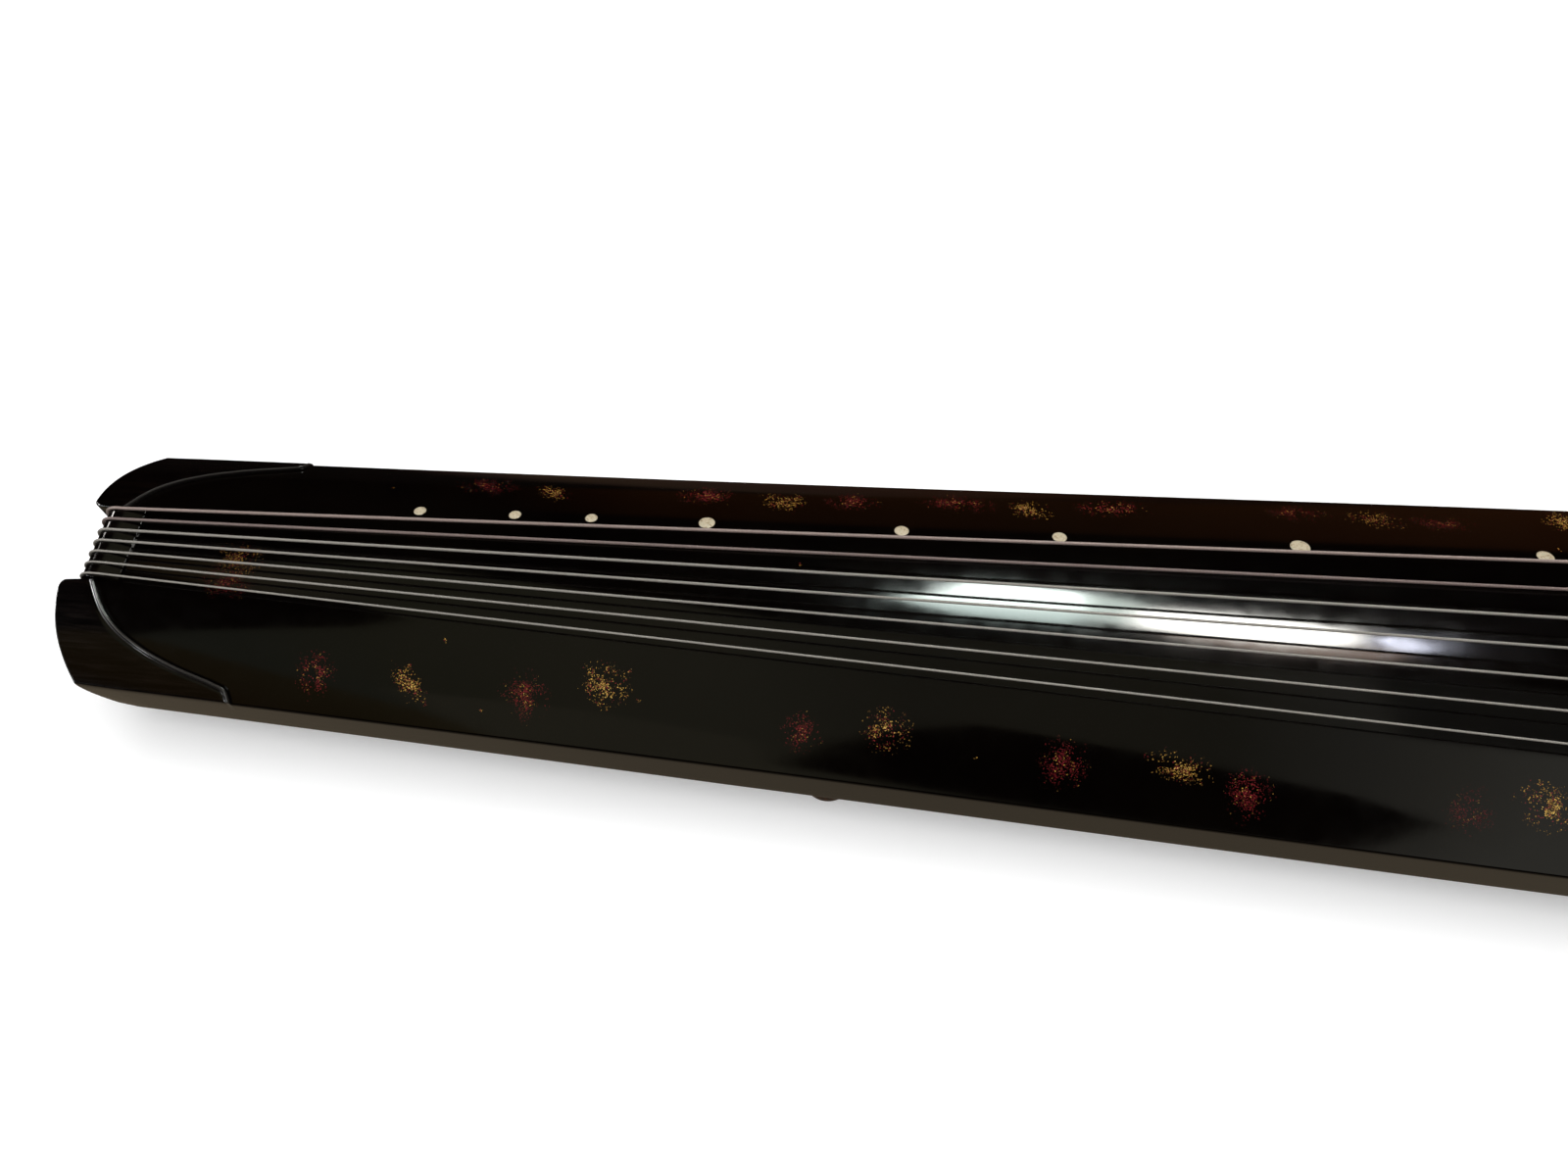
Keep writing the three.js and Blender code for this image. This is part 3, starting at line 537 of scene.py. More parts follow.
# Poured and buffed black lacquer: deep, near mirror gloss, with a faint swell left by the ground
# coat under it and a little haze from buffing.
def buffed_black_lacquer():
    material, tree, shader = new_finish("buffed_black_lacquer", IOR=1.5)
    places = (add(tree, "ShaderNodeTexCoord"), "Object")
    tone = add(tree, "ShaderNodeTexNoise", {"Vector": places, "Scale": per_metre(60), "Detail": 3})
    colour = add(tree, "ShaderNodeValToRGB", {"Fac": tone}, [(0.3, "020101"), (0.75, "050302")])
    haze = add(tree, "ShaderNodeTexNoise", {"Vector": places, "Scale": per_metre(9), "Detail": 4})
    rough = add(tree, "ShaderNodeMapRange", {
        "Value": haze, "From Min": 0.3, "From Max": 0.7, "To Min": 0.075, "To Max": 0.12,
    })
    swell = add(tree, "ShaderNodeTexNoise", {"Vector": places, "Scale": per_metre(45), "Detail": 1})
    skin = add(tree, "ShaderNodeTexNoise", {"Vector": places, "Scale": per_metre(2.5), "Detail": 2})
    slow = add(tree, "ShaderNodeBump", {"Height": swell, "Strength": 0.5, "Distance": 0.0001})
    fine = add(tree, "ShaderNodeBump", {
        "Height": skin, "Strength": 0.25, "Distance": 0.00001, "Normal": slow,
    })
    connect(tree, shader, Base_Color=colour, Roughness=rough, Normal=fine)
    return material


def wood(name, colours, grain, turn, rough, pore, **values):
    """Worked wood, its grain along X before the turn: streaks of a grain's width in millimetres,
    and fine dark pores a few millimetres long. turn is in degrees."""
    material, tree, shader = new_finish(name, **values)
    places = (add(tree, "ShaderNodeTexCoord"), "Object")
    turned_by = [math.radians(a) for a in turn]
    along = add(tree, "ShaderNodeMapping", {"Vector": places, "Rotation": turned_by})
    drawn = add(tree, "ShaderNodeMapping", {"Vector": along, "Scale": (0.06, 1, 1)})
    streak = add(tree, "ShaderNodeTexNoise", {
        "Vector": drawn, "Scale": per_metre(grain), "Detail": 6, "Distortion": 0.6,
    })
    colour = add(tree, "ShaderNodeValToRGB", {"Fac": streak}, [
        (0.36, colours[0]), (0.5, colours[1]), (0.64, colours[2]),
    ])
    pores = add(tree, "ShaderNodeTexNoise", {
        "Vector": drawn, "Scale": per_metre(0.5), "Detail": 2,
    })
    open_pores = add(tree, "ShaderNodeMapRange", {
        "Value": pores, "From Min": 0.32, "From Max": 0.42, "To Min": 0.35, "To Max": 1,
    })
    shaded = add(tree, "ShaderNodeVectorMath", {0: colour, 1: open_pores}, operation="MULTIPLY")
    roughness = add(tree, "ShaderNodeMapRange", {
        "Value": streak, "From Min": 0.3, "From Max": 0.7, "To Min": rough[0], "To Max": rough[1],
    })
    bump = add(tree, "ShaderNodeBump", {
        "Height": open_pores, "Strength": 0.5, "Distance": pore * MM,
    })
    connect(tree, shader, Base_Color=shaded, Roughness=roughness, Normal=bump)
    return material


def paint_bead_highlight(material, code):
    """Paints a paler grey-brown on a raised bead's crest: a painted highlight."""
    tree = material.node_tree
    socket = tree.nodes["Principled BSDF"].inputs["Base Color"]
    highlight_share = add(tree, "ShaderNodeAttribute", attribute_name="thin_lacquer")
    mix = add(tree, "ShaderNodeMix", {
        0: (highlight_share, "Fac"), 6: socket.links[0].from_node, 7: linear(code),
    }, data_type="RGBA")
    tree.links.new(mix.outputs[2], socket)


# Shell of a freshwater mussel, cut to discs and polished: cream, with cloudy patches that lean to
# pink and green, under a clear gloss.
def polished_shell():
    material, tree, shader = new_finish(
        "polished_mother_of_pearl", IOR=1.56, Coat_Weight=0.4, Coat_Roughness=0.08
    )
    places = (add(tree, "ShaderNodeTexCoord"), "Object")
    cloud = add(tree, "ShaderNodeTexNoise", {
        "Vector": places, "Scale": per_metre(1.6), "Detail": 4, "Distortion": 1.2,
    })
    colour = add(tree, "ShaderNodeValToRGB", {"Fac": cloud}, [
        (0.3, "8a7a62"), (0.45, "b3a487"), (0.55, "c3b79d"), (0.68, "aaa68b"),
    ])
    rough = add(tree, "ShaderNodeMapRange", {"Value": cloud, "To Min": 0.2, "To Max": 0.4})
    ripple = add(tree, "ShaderNodeBump", {"Height": cloud, "Strength": 0.2, "Distance": 0.00005})
    connect(tree, shader, Base_Color=colour, Roughness=rough, Normal=ripple)
    return material


# Steel core under a smooth wrapping of fine flat thread. The wrap's real pitch of about 0.2 mm is
# drawn at 0.6 mm, so that it shows from close by.
def wound_string(name, dark, light):
    material, tree, shader = new_finish(name, IOR=1.45, Metallic=0.08)
    places = add(tree, "ShaderNodeMapping", {
        "Vector": (add(tree, "ShaderNodeTexCoord"), "UV"), "Rotation": (0, 0, 0.06),
    })
    wrap = add(tree, "ShaderNodeTexWave", {
        "Vector": places, "Scale": per_metre(0.6) * math.pi / 10,
    }, bands_direction="Y")
    # The colour is painted darker where the wrap dips between turns: painted shade in the grooves.
    colour = add(tree, "ShaderNodeValToRGB", {"Fac": wrap}, [(0, dark), (0.55, light)])
    rough = add(tree, "ShaderNodeMapRange", {"Value": wrap, "To Min": 0.6, "To Max": 0.45})
    ridge = add(tree, "ShaderNodeBump", {"Height": wrap, "Strength": 0.5, "Distance": 0.00006})
    connect(tree, shader, Base_Color=colour, Roughness=rough, Normal=ridge)
    return material


# Dyed silk in hard twist: fibres lie across each ply, and the furrows are rougher and get painted shade.
def twisted_silk():
    material, tree, shader = new_finish("twisted_silk", Sheen_Weight=0.5, Sheen_Roughness=0.4)
    places = add(tree, "ShaderNodeMapping", {
        "Vector": (add(tree, "ShaderNodeTexCoord"), "UV"), "Rotation": (0, 0, 0.6),
        "Scale": (1, 0.15, 1),
    })
    fibre = add(tree, "ShaderNodeTexNoise", {
        "Vector": places, "Scale": per_metre(0.15), "Detail": 3,
    })
    colour = add(tree, "ShaderNodeValToRGB", {"Fac": fibre}, [(0.3, "2c0d0e"), (0.7, "6e2422")])
    rough = add(tree, "ShaderNodeMapRange", {"Value": fibre, "To Min": 0.7, "To Max": 0.5})
    ridge = add(tree, "ShaderNodeBump", {"Height": fibre, "Strength": 0.6, "Distance": 0.00008})
    connect(tree, shader, Base_Color=colour, Roughness=rough, Normal=ridge)
    return material


# Metal powder sprinkled in wet lacquer and buffed level: gold from straw to brown by the flake.
def gold_powder():
    material, tree, shader = new_finish("sprinkled_gold_powder", Metallic=0.1, IOR=1.5)
    tone = (add(tree, "ShaderNodeAttribute", attribute_name="tone"), "Fac")
    colour = add(tree, "ShaderNodeValToRGB", {"Fac": tone}, [
        (0, "24180c"), (0.3, "573f1b"), (0.6, "a87f34"), (0.9, "d8b25c"),
    ])
    rough = add(tree, "ShaderNodeMapRange", {"Value": tone, "To Min": 0.12, "To Max": 0.2})
    connect(tree, shader, Base_Color=colour, Roughness=rough)
    return material


# Cinnabar red lacquer dabbed on the black: dull crimson, darker where a dab is thin.
def red_lacquer():
    material, tree, shader = new_finish("dabbed_red_lacquer", IOR=1.5)
    tone = (add(tree, "ShaderNodeAttribute", attribute_name="tone"), "Fac")
    colour = add(tree, "ShaderNodeValToRGB", {"Fac": tone}, [
        (0, "1a0706"), (0.3, "380d0f"), (0.6, "66181c"), (0.9, "8e3236"),
    ])
    rough = add(tree, "ShaderNodeMapRange", {"Value": tone, "To Min": 0.1, "To Max": 0.16})
    connect(tree, shader, Base_Color=colour, Roughness=rough)
    return material


LACQUER = buffed_black_lacquer()
# Dark rosewood under thin black lacquer, rubbed to a gloss: the grain shows only as warm shadows.
CROWN_WOOD = wood(
    "lacquered_rosewood", ("020101", "040202", "080403"), 1.6, (0, 0, 0), (0.08, 0.13), 0.003,
    IOR=1.5,
)
# Paler grey-brown painted along the crown beads' crests, as a painted highlight.
paint_bead_highlight(CROWN_WOOD, "2f2d2b")
# Oiled rosewood: purple-brown with near black streaks and long open pores, silky from hand rubbing.
ROSEWOOD_ALONG, ROSEWOOD_ACROSS, ROSEWOOD_UPRIGHT = [
    wood("rosewood_grain_" + lie, ("1c0d09", "341a11", "4d2a1a"), 1.5, turn, (0.3, 0.45), 0.06)
    for lie, turn in (("along", (0, 0, 0)), ("across", (0, 0, 90)), ("upright", (0, 90, 0)))
]
# Bare paulownia as it left the plane and gouge: pale, dull, with wide soft rings.
BARE_WOOD = wood(
    "planed_paulownia", ("9c7748", "bd9764", "d0ae7c"), 4, (0, 0, 0), (0.65, 0.8), 0.08
)
SHELL = polished_shell()
COPPER_STRINGS = [
    wound_string("copper_toned_wrap_light", "6e5f5b", "99877f"),
    wound_string("copper_toned_wrap_dark", "584a46", "7f6e69"),
]
PALE_STRING = wound_string("pale_nylon_wrap", "6f6b65", "938e86")
SILK_CORD = twisted_silk()
GOLD = gold_powder()
RED = red_lacquer()


# The body's plan: rows from the tail's tip to the head, closer together round the corners.
ARRIS_ROUND = 0.9
LOWER_ROUND = 1.6


def body_rows(spacing):
    """Distances s of the rows, and half-widths there."""
    corner = float(half_width(-TAIL_REACH))
    tail = [(float(tail_end(y)), y) for y in np.linspace(TIP_HALF, corner, 13)]
    straight = HEAD_END - HEAD_CORNER
    count = round((straight - TAIL_SETBACK) / spacing)
    sides = [(s, float(half_width(s))) for s in np.linspace(TAIL_SETBACK, straight, count)]
    head_half = float(half_width(HEAD_END))
    head = arc(straight, head_half - HEAD_CORNER, HEAD_CORNER, 90, 0, 14)[1:]
    return np.array(tail + sides + head).T


def body_grid(spacing, cells, radius):
    """Plan places of the whole body, closer together along the edges, and how far each lies from
    the outline."""
    s, half = body_rows(spacing)
    steps = np.array([0, 0.04, 0.15, 0.35, 0.65, 1]) * radius
    left = steps[None, :] - half[:, None]
    inner = (half - radius)[:, None] * np.linspace(-1, 1, cells + 1)[None, 1:-1]
    y = np.concatenate([left, inner, -left[:, ::-1]], axis=1)
    s = np.repeat(s[:, None], y.shape[1], axis=1)
    far = np.stack([s[:, -1], y[:, -1]], axis=1)
    near = np.stack([s[:, 0], y[:, 0]], axis=1)
    return s, y, edge_distance(s, y, np.concatenate([far, near[::-1]]))


def box_tool(s_low, s_high, y_low, y_high, low, high, material=LACQUER):
    outline = [(s_low, y_low), (s_high, y_low), (s_high, y_high), (s_low, y_high)]
    return prism("tool", outline, low, high, material)


def disc(s, y, radius, sides=32):
    return [(s + a, y + b) for a, b in arc(0, 0, radius, 0, 360, sides)[:-1]]


def hole_outline(hole, grow=0):
    centre, length, width = SOUND_HOLES[hole]
    width += 2 * grow
    return round_block(centre, length + 2 * grow, width, width / 2 - 0.001, 16)


def pond_outline(grow=0):
    return round_block(PEG_PLACE, POND_WIDTH + 2 * grow, POND_LENGTH + 2 * grow, POND_CORNER + grow)


def tip_round(steps):
    """Plan of the round tip of a crown corner beside the notch, from the end inwards."""
    centre = NOTCH_HALF + NOTCH_FLARE + TIP_ROUND
    return arc(-TAIL_REACH + TIP_ROUND, centre, TIP_ROUND, 180, 270, steps)


def notch_tool():
    """Takes out the gap between the crown corners, down which the strings go."""
    tip = tip_round(6)
    rows = np.array([(-TAIL_REACH - 15, tip[0][1])] + tip + [(-NOTCH_FACE, NOTCH_HALF)])
    s = np.repeat(rows[:, :1], 2, axis=1)
    y = rows[:, 1:] * np.array([-1, 1])
    high, low = np.full_like(s, 95), np.full_like(s, 15)
    return panel("tool", s, y, high, low, 32, LACQUER)


def crown_line(count=200):
    """Inner line of a crown corner on the far side, up to where it meets the edge."""
    s = np.linspace(CROWN_LINE[0, 0], CROWN_LINE[-1, 0], 600) * CROWN_LENGTH
    out = smooth_share(CROWN_LINE, s / CROWN_LENGTH)
    s, out = s[out <= 1], out[out <= 1]
    y = NOTCH_HALF + out * (half_width(s) - NOTCH_HALF)
    return resampled(np.stack([s, y], axis=1), count)


def resampled(points, count):
    """Points at even steps along a line."""
    points = np.asarray(points, float)
    run = np.concatenate([[0], np.cumsum(np.linalg.norm(np.diff(points, axis=0), axis=1))])
    places = np.linspace(0, run[-1], count)
    return np.stack([np.interp(places, run, column) for column in points.T], axis=1)


def crown_seat_tool(side):
    """The bed in which a crown corner lies."""
    line = crown_line(80)
    inner = np.concatenate([[(-TAIL_REACH - 6, NOTCH_HALF)], line]) + (HAIRLINE, -HAIRLINE)
    inner = np.concatenate([inner, [(inner[-1, 0] + 0.5, inner[-1, 1] + 12)]])
    share = np.linspace(0, 1, 25)[None, :]
    s = np.repeat(inner[:, :1], 25, axis=1)
    y = inner[:, 1:] + share * (SHOULDER_HALF + 8 - inner[:, 1:])
    high = np.full_like(s, 95)
    return panel(
        "tool", s, side * y, high, top_at(s, y) - CROWN_THICK - HAIRLINE, 1, LACQUER, False
    )


def crown_corner(name, side, softness):
    """A crown corner: its top stands a little proud of the board, with a bead and a fine groove
    along its inner line. softness is the radius of its edges."""
    line = crown_line()
    corner = float(half_width(-TAIL_REACH))
    end = [(float(tail_end(y)), y) for y in np.linspace(TIP_HALF, corner, 40)]
    sides = [(s, float(half_width(s))) for s in np.linspace(TAIL_SETBACK, line[-1, 0], 40)]
    rows = 110
    inner = resampled(tip_round(8) + line.tolist(), rows)
    outer = resampled(end + sides, rows)
    reach = np.linalg.norm(outer - inner, axis=1)[:, None]
    scale = np.minimum(1, reach / 9)
    first = np.array([0, 0.04, 0.12, 0.25, 0.4, 0.55, 0.7, 0.85, 1, 1.15, 1.3, 1.5, 1.8, 2.1, 2.6, 3])
    last = np.array([0.9, 0.6, 0.35, 0.15, 0.05, 0])
    from_inner = first[None, :] * scale
    to_outer = reach - last[None, :] * scale
    middle = np.linspace(0, 1, 16)[None, 1:-1]
    between = from_inner[:, -1:] + middle * (to_outer[:, :1] - from_inner[:, -1:])
    along = np.concatenate([from_inner, between, to_outer], axis=1) / np.maximum(reach, 1e-6)
    s = inner[:, :1] + along * (outer - inner)[:, :1]
    y = inner[:, 1:] + along * (outer - inner)[:, 1:]
    edge = edge_distance(s, y, np.concatenate([inner, outer[::-1]]))
    out = edge_distance(s, y, line, closed=False)
    bead = 0.42 * np.sin(np.pi * np.clip(out / 1.7, 0, 1))
    groove = 0.25 * np.sin(np.pi * np.clip((out - 1.7) / 1.2, 0, 1))
    top = top_at(s, y) + CROWN_PROUD + bead - groove - rounding(edge, softness)
    piece = panel(name, s, side * y, top, top_at(s, y) - CROWN_THICK, 4, CROWN_WOOD)
    # Marks the bead's crest, where a paler colour is painted as a highlight.
    places = np.array([vertex.co for vertex in piece.data.vertices]) / MM
    out = edge_distance(places[:, 0] - CREST_X, side * places[:, 1], line, closed=False)
    highlight_share = np.exp(-((out - 0.85) / 0.7) ** 2)
    piece.data.attributes.new("thin_lacquer", "FLOAT", "POINT").data.foreach_set("value", highlight_share)
    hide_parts("crown_corner_far" if side > 0 else "crown_corner_near")
    return shade(piece, 40)


def hollow_tool():
    """The hollow between the boards, with a raised ceiling over each sound hole and a block over
    each foot."""
    rows = np.linspace(45, STRING_LENGTH - 45, 60)
    shares = np.linspace(-1, 1, 25)
    s = np.repeat(rows[:, None], 25, axis=1)
    y = (half_width(rows) - 14)[:, None] * shares
    low = np.full_like(s, JOINT - 6)
    hollow = panel("tool", s, y, top_at(s, y) - 11, low, 1, BARE_WOOD, False)
    kept = []
    for centre, length, width in SOUND_HOLES.values():
        rows = np.linspace(-1, 1, 9) * (length / 2 + 10) + centre
        s = np.repeat(rows[:, None], 9, axis=1)
        y = np.ones_like(rows)[:, None] * np.linspace(-1, 1, 9) * (width / 2 + 10)
        high = np.full_like(s, 90)
        kept.append(panel("kept", s, y, high, top_at(s, y) - 17, 1, BARE_WOOD, False))
    for side in (-1, 1):
        low, high = sorted((side * 40, side * 99))
        kept.append(box_tool(FOOT_PLACE - 22, FOOT_PLACE + 22, low, high, 0, 90, BARE_WOOD))
    return cut(hollow, *kept)


def stud_places():
    """Place, upright of the board there, and radius of each shell stud."""
    found = []
    for share, radius in STUDS:
        s = share * STRING_LENGTH
        y = STUD_LINE[0] + (STUD_LINE[1] - STUD_LINE[0]) * share
        slope = float(top_at(s, y + 0.3) - top_at(s, y - 0.3)) / 0.6
        upright = Vector((0, -slope, 1)).normalized()
        found.append((Vector((CREST_X + s, y, float(top_at(s, y)))), upright, radius))
    return found


def peg_bore(index, material):
    """A rod in the place of the hole in which a peg's cord goes up through the head."""
    return prism("tool", disc(PEG_PLACE, (3 - index) * BRIDGE_PITCH, BORE), BORE_FROM, BORE_TO, material)


def sunk_places_tool():
    """The pockets of the studs, the bores of the silk loops and the sockets of the feet."""
    tools = []
    for place, upright, radius in stud_places():
        ends = [place - 1.6 * upright, place + 6 * upright]
        tools.append(tube("tool", ends, radius + 0.04, 40, LACQUER))
    for i in range(7):
        tools.append(peg_bore(i, LACQUER))
    for side in (-1, 1):
        tools.append(prism("tool", disc(FOOT_PLACE, side * FOOT_OUT, 6.1), 20, 49.3, LACQUER))
    return joined("tool", tools)


def soundboard():
    s, y, edge = body_grid(8, 46, ARRIS_ROUND)
    top = top_at(s, y) - rounding(edge, ARRIS_ROUND)
    board = panel("lacquered_soundboard", s, y, top, np.full_like(s, JOINT), 8, LACQUER)
    nut_seat = box_tool(-30, 9 + HAIRLINE, -NOTCH_HALF, NOTCH_HALF, 66 - HAIRLINE, 95)
    pond = prism("tool", pond_outline(), 30, 43, LACQUER)
    cut(
        board, hollow_tool(), crown_seat_tool(1), crown_seat_tool(-1), nut_seat, notch_tool(),
        pond, sunk_places_tool(),
    )
    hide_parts("soundboard")
    return even_normals(shade(board))


def bottom_board():
    s, y, edge = body_grid(8, 10, LOWER_ROUND)
    top = np.full_like(s, JOINT - 0.04)
    board = panel(
        "lacquered_bottom_board", s, y, top, UNDERSIDE + rounding(edge, LOWER_ROUND), 6, LACQUER
    )
    tools = [notch_tool(), prism("tool", pond_outline(), 20, 45, LACQUER)]
    tools.append(box_tool(-40, SILL_FRONT + HAIRLINE, -22.15, 22.15, 15, 45))
    for hole in SOUND_HOLES:
        tools.append(prism("tool", hole_outline(hole), 20, 45, LACQUER))
        tools.append(prism("tool", hole_outline(hole, RIM_WIDTH), 20, UNDERSIDE + 4, LACQUER))
    for side in (-1, 1):
        tools.append(prism("tool", disc(FOOT_PLACE, side * FOOT_OUT, 6.1), 20, 45, LACQUER))
    cut(board, *tools)
    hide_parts("bottom_board")
    return even_normals(shade(board))


def hole_rim(hole):
    """A rosewood frame let in round a sound hole, its lower edges rounded."""
    inner = np.array(hole_outline(hole))
    outer = np.array(hole_outline(hole, RIM_WIDTH - HAIRLINE))
    low, high = UNDERSIDE + 0.05, UNDERSIDE + 3.9
    section = [(0, high), (0, low + 0.9)]
    section += [(0.9 - 0.9 * math.cos(a), low + 0.9 - 0.9 * math.sin(a)) for a in (0.4, 0.8, 1.2)]
    section += [(0.9, low), (3.2, low), (RIM_WIDTH - HAIRLINE, low + 0.5), (RIM_WIDTH - HAIRLINE, high)]
    points, faces, count = [], [], len(section)
    for a, b in zip(inner, outer):
        for offset, z in section:
            s, y = a + (b - a) * offset / (RIM_WIDTH - HAIRLINE)
            points.append((CREST_X + s, y, z))
    total = len(inner)
    for i in range(total):
        for j in range(count):
            n, k = (i + 1) % total, (j + 1) % count
            faces.append([i * count + j, n * count + j, n * count + k, i * count + k])
    rim = new_piece("rosewood_" + hole + "_rim", points, faces, ROSEWOOD_ALONG)
    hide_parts(hole + "_rim")
    return shade(rim, 40)


def tail_nut():
    crest = BOARD_TOP + NUT_CREST
    profile = [(9, 66), (9, BOARD_TOP + 0.9), (1, crest)]
    profile += arc(-NOTCH_FACE + NUT_ROUND, crest - NUT_ROUND, NUT_ROUND, 90, 180, 24)
    profile += [(-NOTCH_FACE, 66)]
    nut = across("rosewood_tail_nut", profile, NOTCH_HALF - HAIRLINE, 0, CROWN_WOOD)
    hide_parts("tail_nut")
    return even_normals(shade(soften(nut, 0.15), 40))


def tail_sill():
    low = UNDERSIDE - SILL_PROUD
    profile = [(SILL_FRONT, JOINT - 0.1), (SILL_FRONT, low)]
    profile += arc(-SILL_REACH + SILL_ROUND, low + SILL_ROUND, SILL_ROUND, 270, 180, 12)
    profile += [(-SILL_REACH, JOINT - 0.1)]
    sill = across("rosewood_tail_sill", profile, 22, 0, CROWN_WOOD)
    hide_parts("tail_sill")
    return even_normals(shade(soften(sill, 0.4), 40))


def bridge():
    steps = np.array([0, 0.04, 0.15, 0.35, 0.65, 1.1])
    run = np.concatenate([steps, [4, 8], BRIDGE_THICK - steps[::-1]])
    y_places = np.linspace(-BRIDGE_HALF, BRIDGE_HALF, 181)
    s = np.repeat(STRING_LENGTH + run[:, None], len(y_places), axis=1)
    y = np.repeat(y_places[None, :], len(run), axis=0)
    crest = BOARD_TOP + BRIDGE_TOP - BRIDGE_FALL * (y / (3 * BRIDGE_PITCH)) ** 2
    past = np.clip((np.abs(y) - (BRIDGE_HALF - BRIDGE_END_RUN)) / BRIDGE_END_RUN, 0, 1)
    end = top_at(s, BRIDGE_HALF) + BRIDGE_END_HEIGHT
    top = crest + (end - crest) * (1 - np.sqrt(1 - past**2))
    edge = np.minimum(s - STRING_LENGTH, STRING_LENGTH + BRIDGE_THICK - s)
    top = top - rounding(edge, 1.1)
    piece = panel("rosewood_bridge", s, y, top, top_at(s, y) + 0.03, 8, ROSEWOOD_ACROSS, False)
    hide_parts("bridge")
    return shade(piece, 40)


def bridge_apron():
    steps = np.array([0, 0.04, 0.15, 0.35, 0.65, 1])
    run = np.concatenate([steps, np.linspace(3, 20, 8), APRON_LENGTH - steps[::-1]])
    out = np.concatenate([steps, np.linspace(3, 2 * BRIDGE_HALF - 3, 60), 2 * BRIDGE_HALF - steps[::-1]])
    s = np.repeat(APRON_START + run[:, None], len(out), axis=1)
    y = np.repeat(out[None, :] - BRIDGE_HALF, len(run), axis=0)
    edge = np.minimum(
        np.minimum(s - APRON_START, APRON_START + APRON_LENGTH - s), BRIDGE_HALF - np.abs(y)
    )
    top = top_at(s, y) + APRON_THICK - rounding(edge, 1)
    piece = panel("rosewood_apron", s, y, top, top_at(s, y) + 0.03, 3, ROSEWOOD_ACROSS, False)
    bores = [peg_bore(i, ROSEWOOD_ACROSS) for i in range(7)]
    cut(piece, joined("tool", bores))
    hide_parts("bridge_apron")
    return shade(piece, 40)


def pond_plate():
    plate = prism("rosewood_pond_plate", pond_outline(-HAIRLINE), PLATE_BOTTOM, PLATE_TOP, ROSEWOOD_ACROSS)
    bores = [peg_bore(i, ROSEWOOD_ACROSS) for i in range(7)]
    cut(plate, joined("tool", bores))
    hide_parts("peg_pond_plate")
    return shade(plate, 40)


# Outline of a peg: share of its length down from the top, share of its radius.
PEG_OUTLINE = np.array([
    (0, 0.9), (0.03, 1), (0.08, 0.97), (0.15, 0.64), (0.26, 0.6), (0.37, 0.62), (0.46, 0.86),
    (0.55, 0.92), (0.78, 0.82), (0.95, 0.93), (1, 0.8),
])


def tuning_peg(index):
    """A turned peg with six hollow flutes to grip, bored for its cord down to the neck's side."""
    y = (3 - index) * BRIDGE_PITCH

    def fluted(angles, z):
        down = (PEG_TOP - z) / PEG_LENGTH
        depth = 0.14 * math.sin(math.pi * min(max((down - 0.5) / 0.45, 0), 1)) ** 0.6
        return 1 - depth * np.abs(np.sin(3 * angles)) ** 1.5

    shares = np.unique(np.concatenate([np.linspace(0, 1, 49), [0.01, 0.02, 0.985, 0.995]]))
    radii = PEG_RADIUS * smooth_share(PEG_OUTLINE, shares)
    profile = [(0, PEG_TOP)]
    profile += [(r, PEG_TOP - share * PEG_LENGTH) for share, r in zip(shares, radii)]
    profile += [(radii[-1] * 0.55, PEG_TOP - PEG_LENGTH), (0, PEG_TOP - PEG_LENGTH)]
    name = "rosewood_peg_" + str(index + 1)
    peg = turned(name, profile, PEG_PLACE, y, ROSEWOOD_UPRIGHT, 72, fluted)
    axis = CREST_X + PEG_PLACE
    down = [(axis, y, PEG_TOP + 3), (axis, y, PEG_CORD_LEVEL - SILK)]
    side = [(axis, y, PEG_CORD_LEVEL), (axis + PEG_RADIUS, y, PEG_CORD_LEVEL)]
    cut(
        peg, tube("tool", down, CORD_BORE, 32, ROSEWOOD_UPRIGHT),
        tube("tool", side, CORD_BORE, 32, ROSEWOOD_UPRIGHT),
    )
    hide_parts("tuning_peg_" + str(index + 1))
    return shade(peg, 35)


def peg_guard(name, side):
    """A block beside the pegs with a narrower foot and hollow ends."""
    half, foot_half = GUARD_LENGTH / 2, GUARD_LENGTH * 0.36
    high, low = UNDERSIDE - 0.02, 0

    def hollow(sign):
        return [
            (PEG_PLACE + sign * (half - (half - foot_half) * math.sin(t * math.pi / 2)),
             high - 1.5 - t * (high - 3))
            for t in np.linspace(0, 1, 14)
        ]

    profile = [(PEG_PLACE + half, high), (PEG_PLACE - half, high)] + hollow(-1)
    profile += [(PEG_PLACE - foot_half + 1.5, low), (PEG_PLACE + foot_half - 1.5, low)]
    profile += hollow(1)[::-1]
    guard = across(name, profile, GUARD_THICK / 2, side * GUARD_PLACE, ROSEWOOD_ALONG)
    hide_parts("peg_guard_far" if side > 0 else "peg_guard_near")
    return even_normals(shade(soften(guard, 1, 4), 40))


def goose_foot(name, side):
    """A turned foot: flared base, straight neck for the strings, and a collar under the board."""
    profile = [(0, 0), (11, 0)]
    profile += arc(11, 1.5, 1.5, 270, 360, 6) + [(12.5, 3.6)]
    profile += [(12.3, 4.6), (11.7, 5.5), (10.8, 6.2), (10, 6.7), (9.35, 7.4), (9.05, 8.2), (9, 9)]
    profile += [(9, z) for z in (14, 20, 25.6)]
    profile += [(9.15, 26), (9.8, 26.25), (10.7, 26.4), (11, 26.9), (11, 27.6), (10.6, 27.97)]
    profile += [(6, 27.97), (6, 48.8), (5.6, 49.2), (0, 49.2)]
    foot = turned(name, profile, FOOT_PLACE, side * FOOT_OUT, ROSEWOOD_UPRIGHT, 72)
    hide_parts("goose_foot_far" if side > 0 else "goose_foot_near")
    return shade(foot, 38)


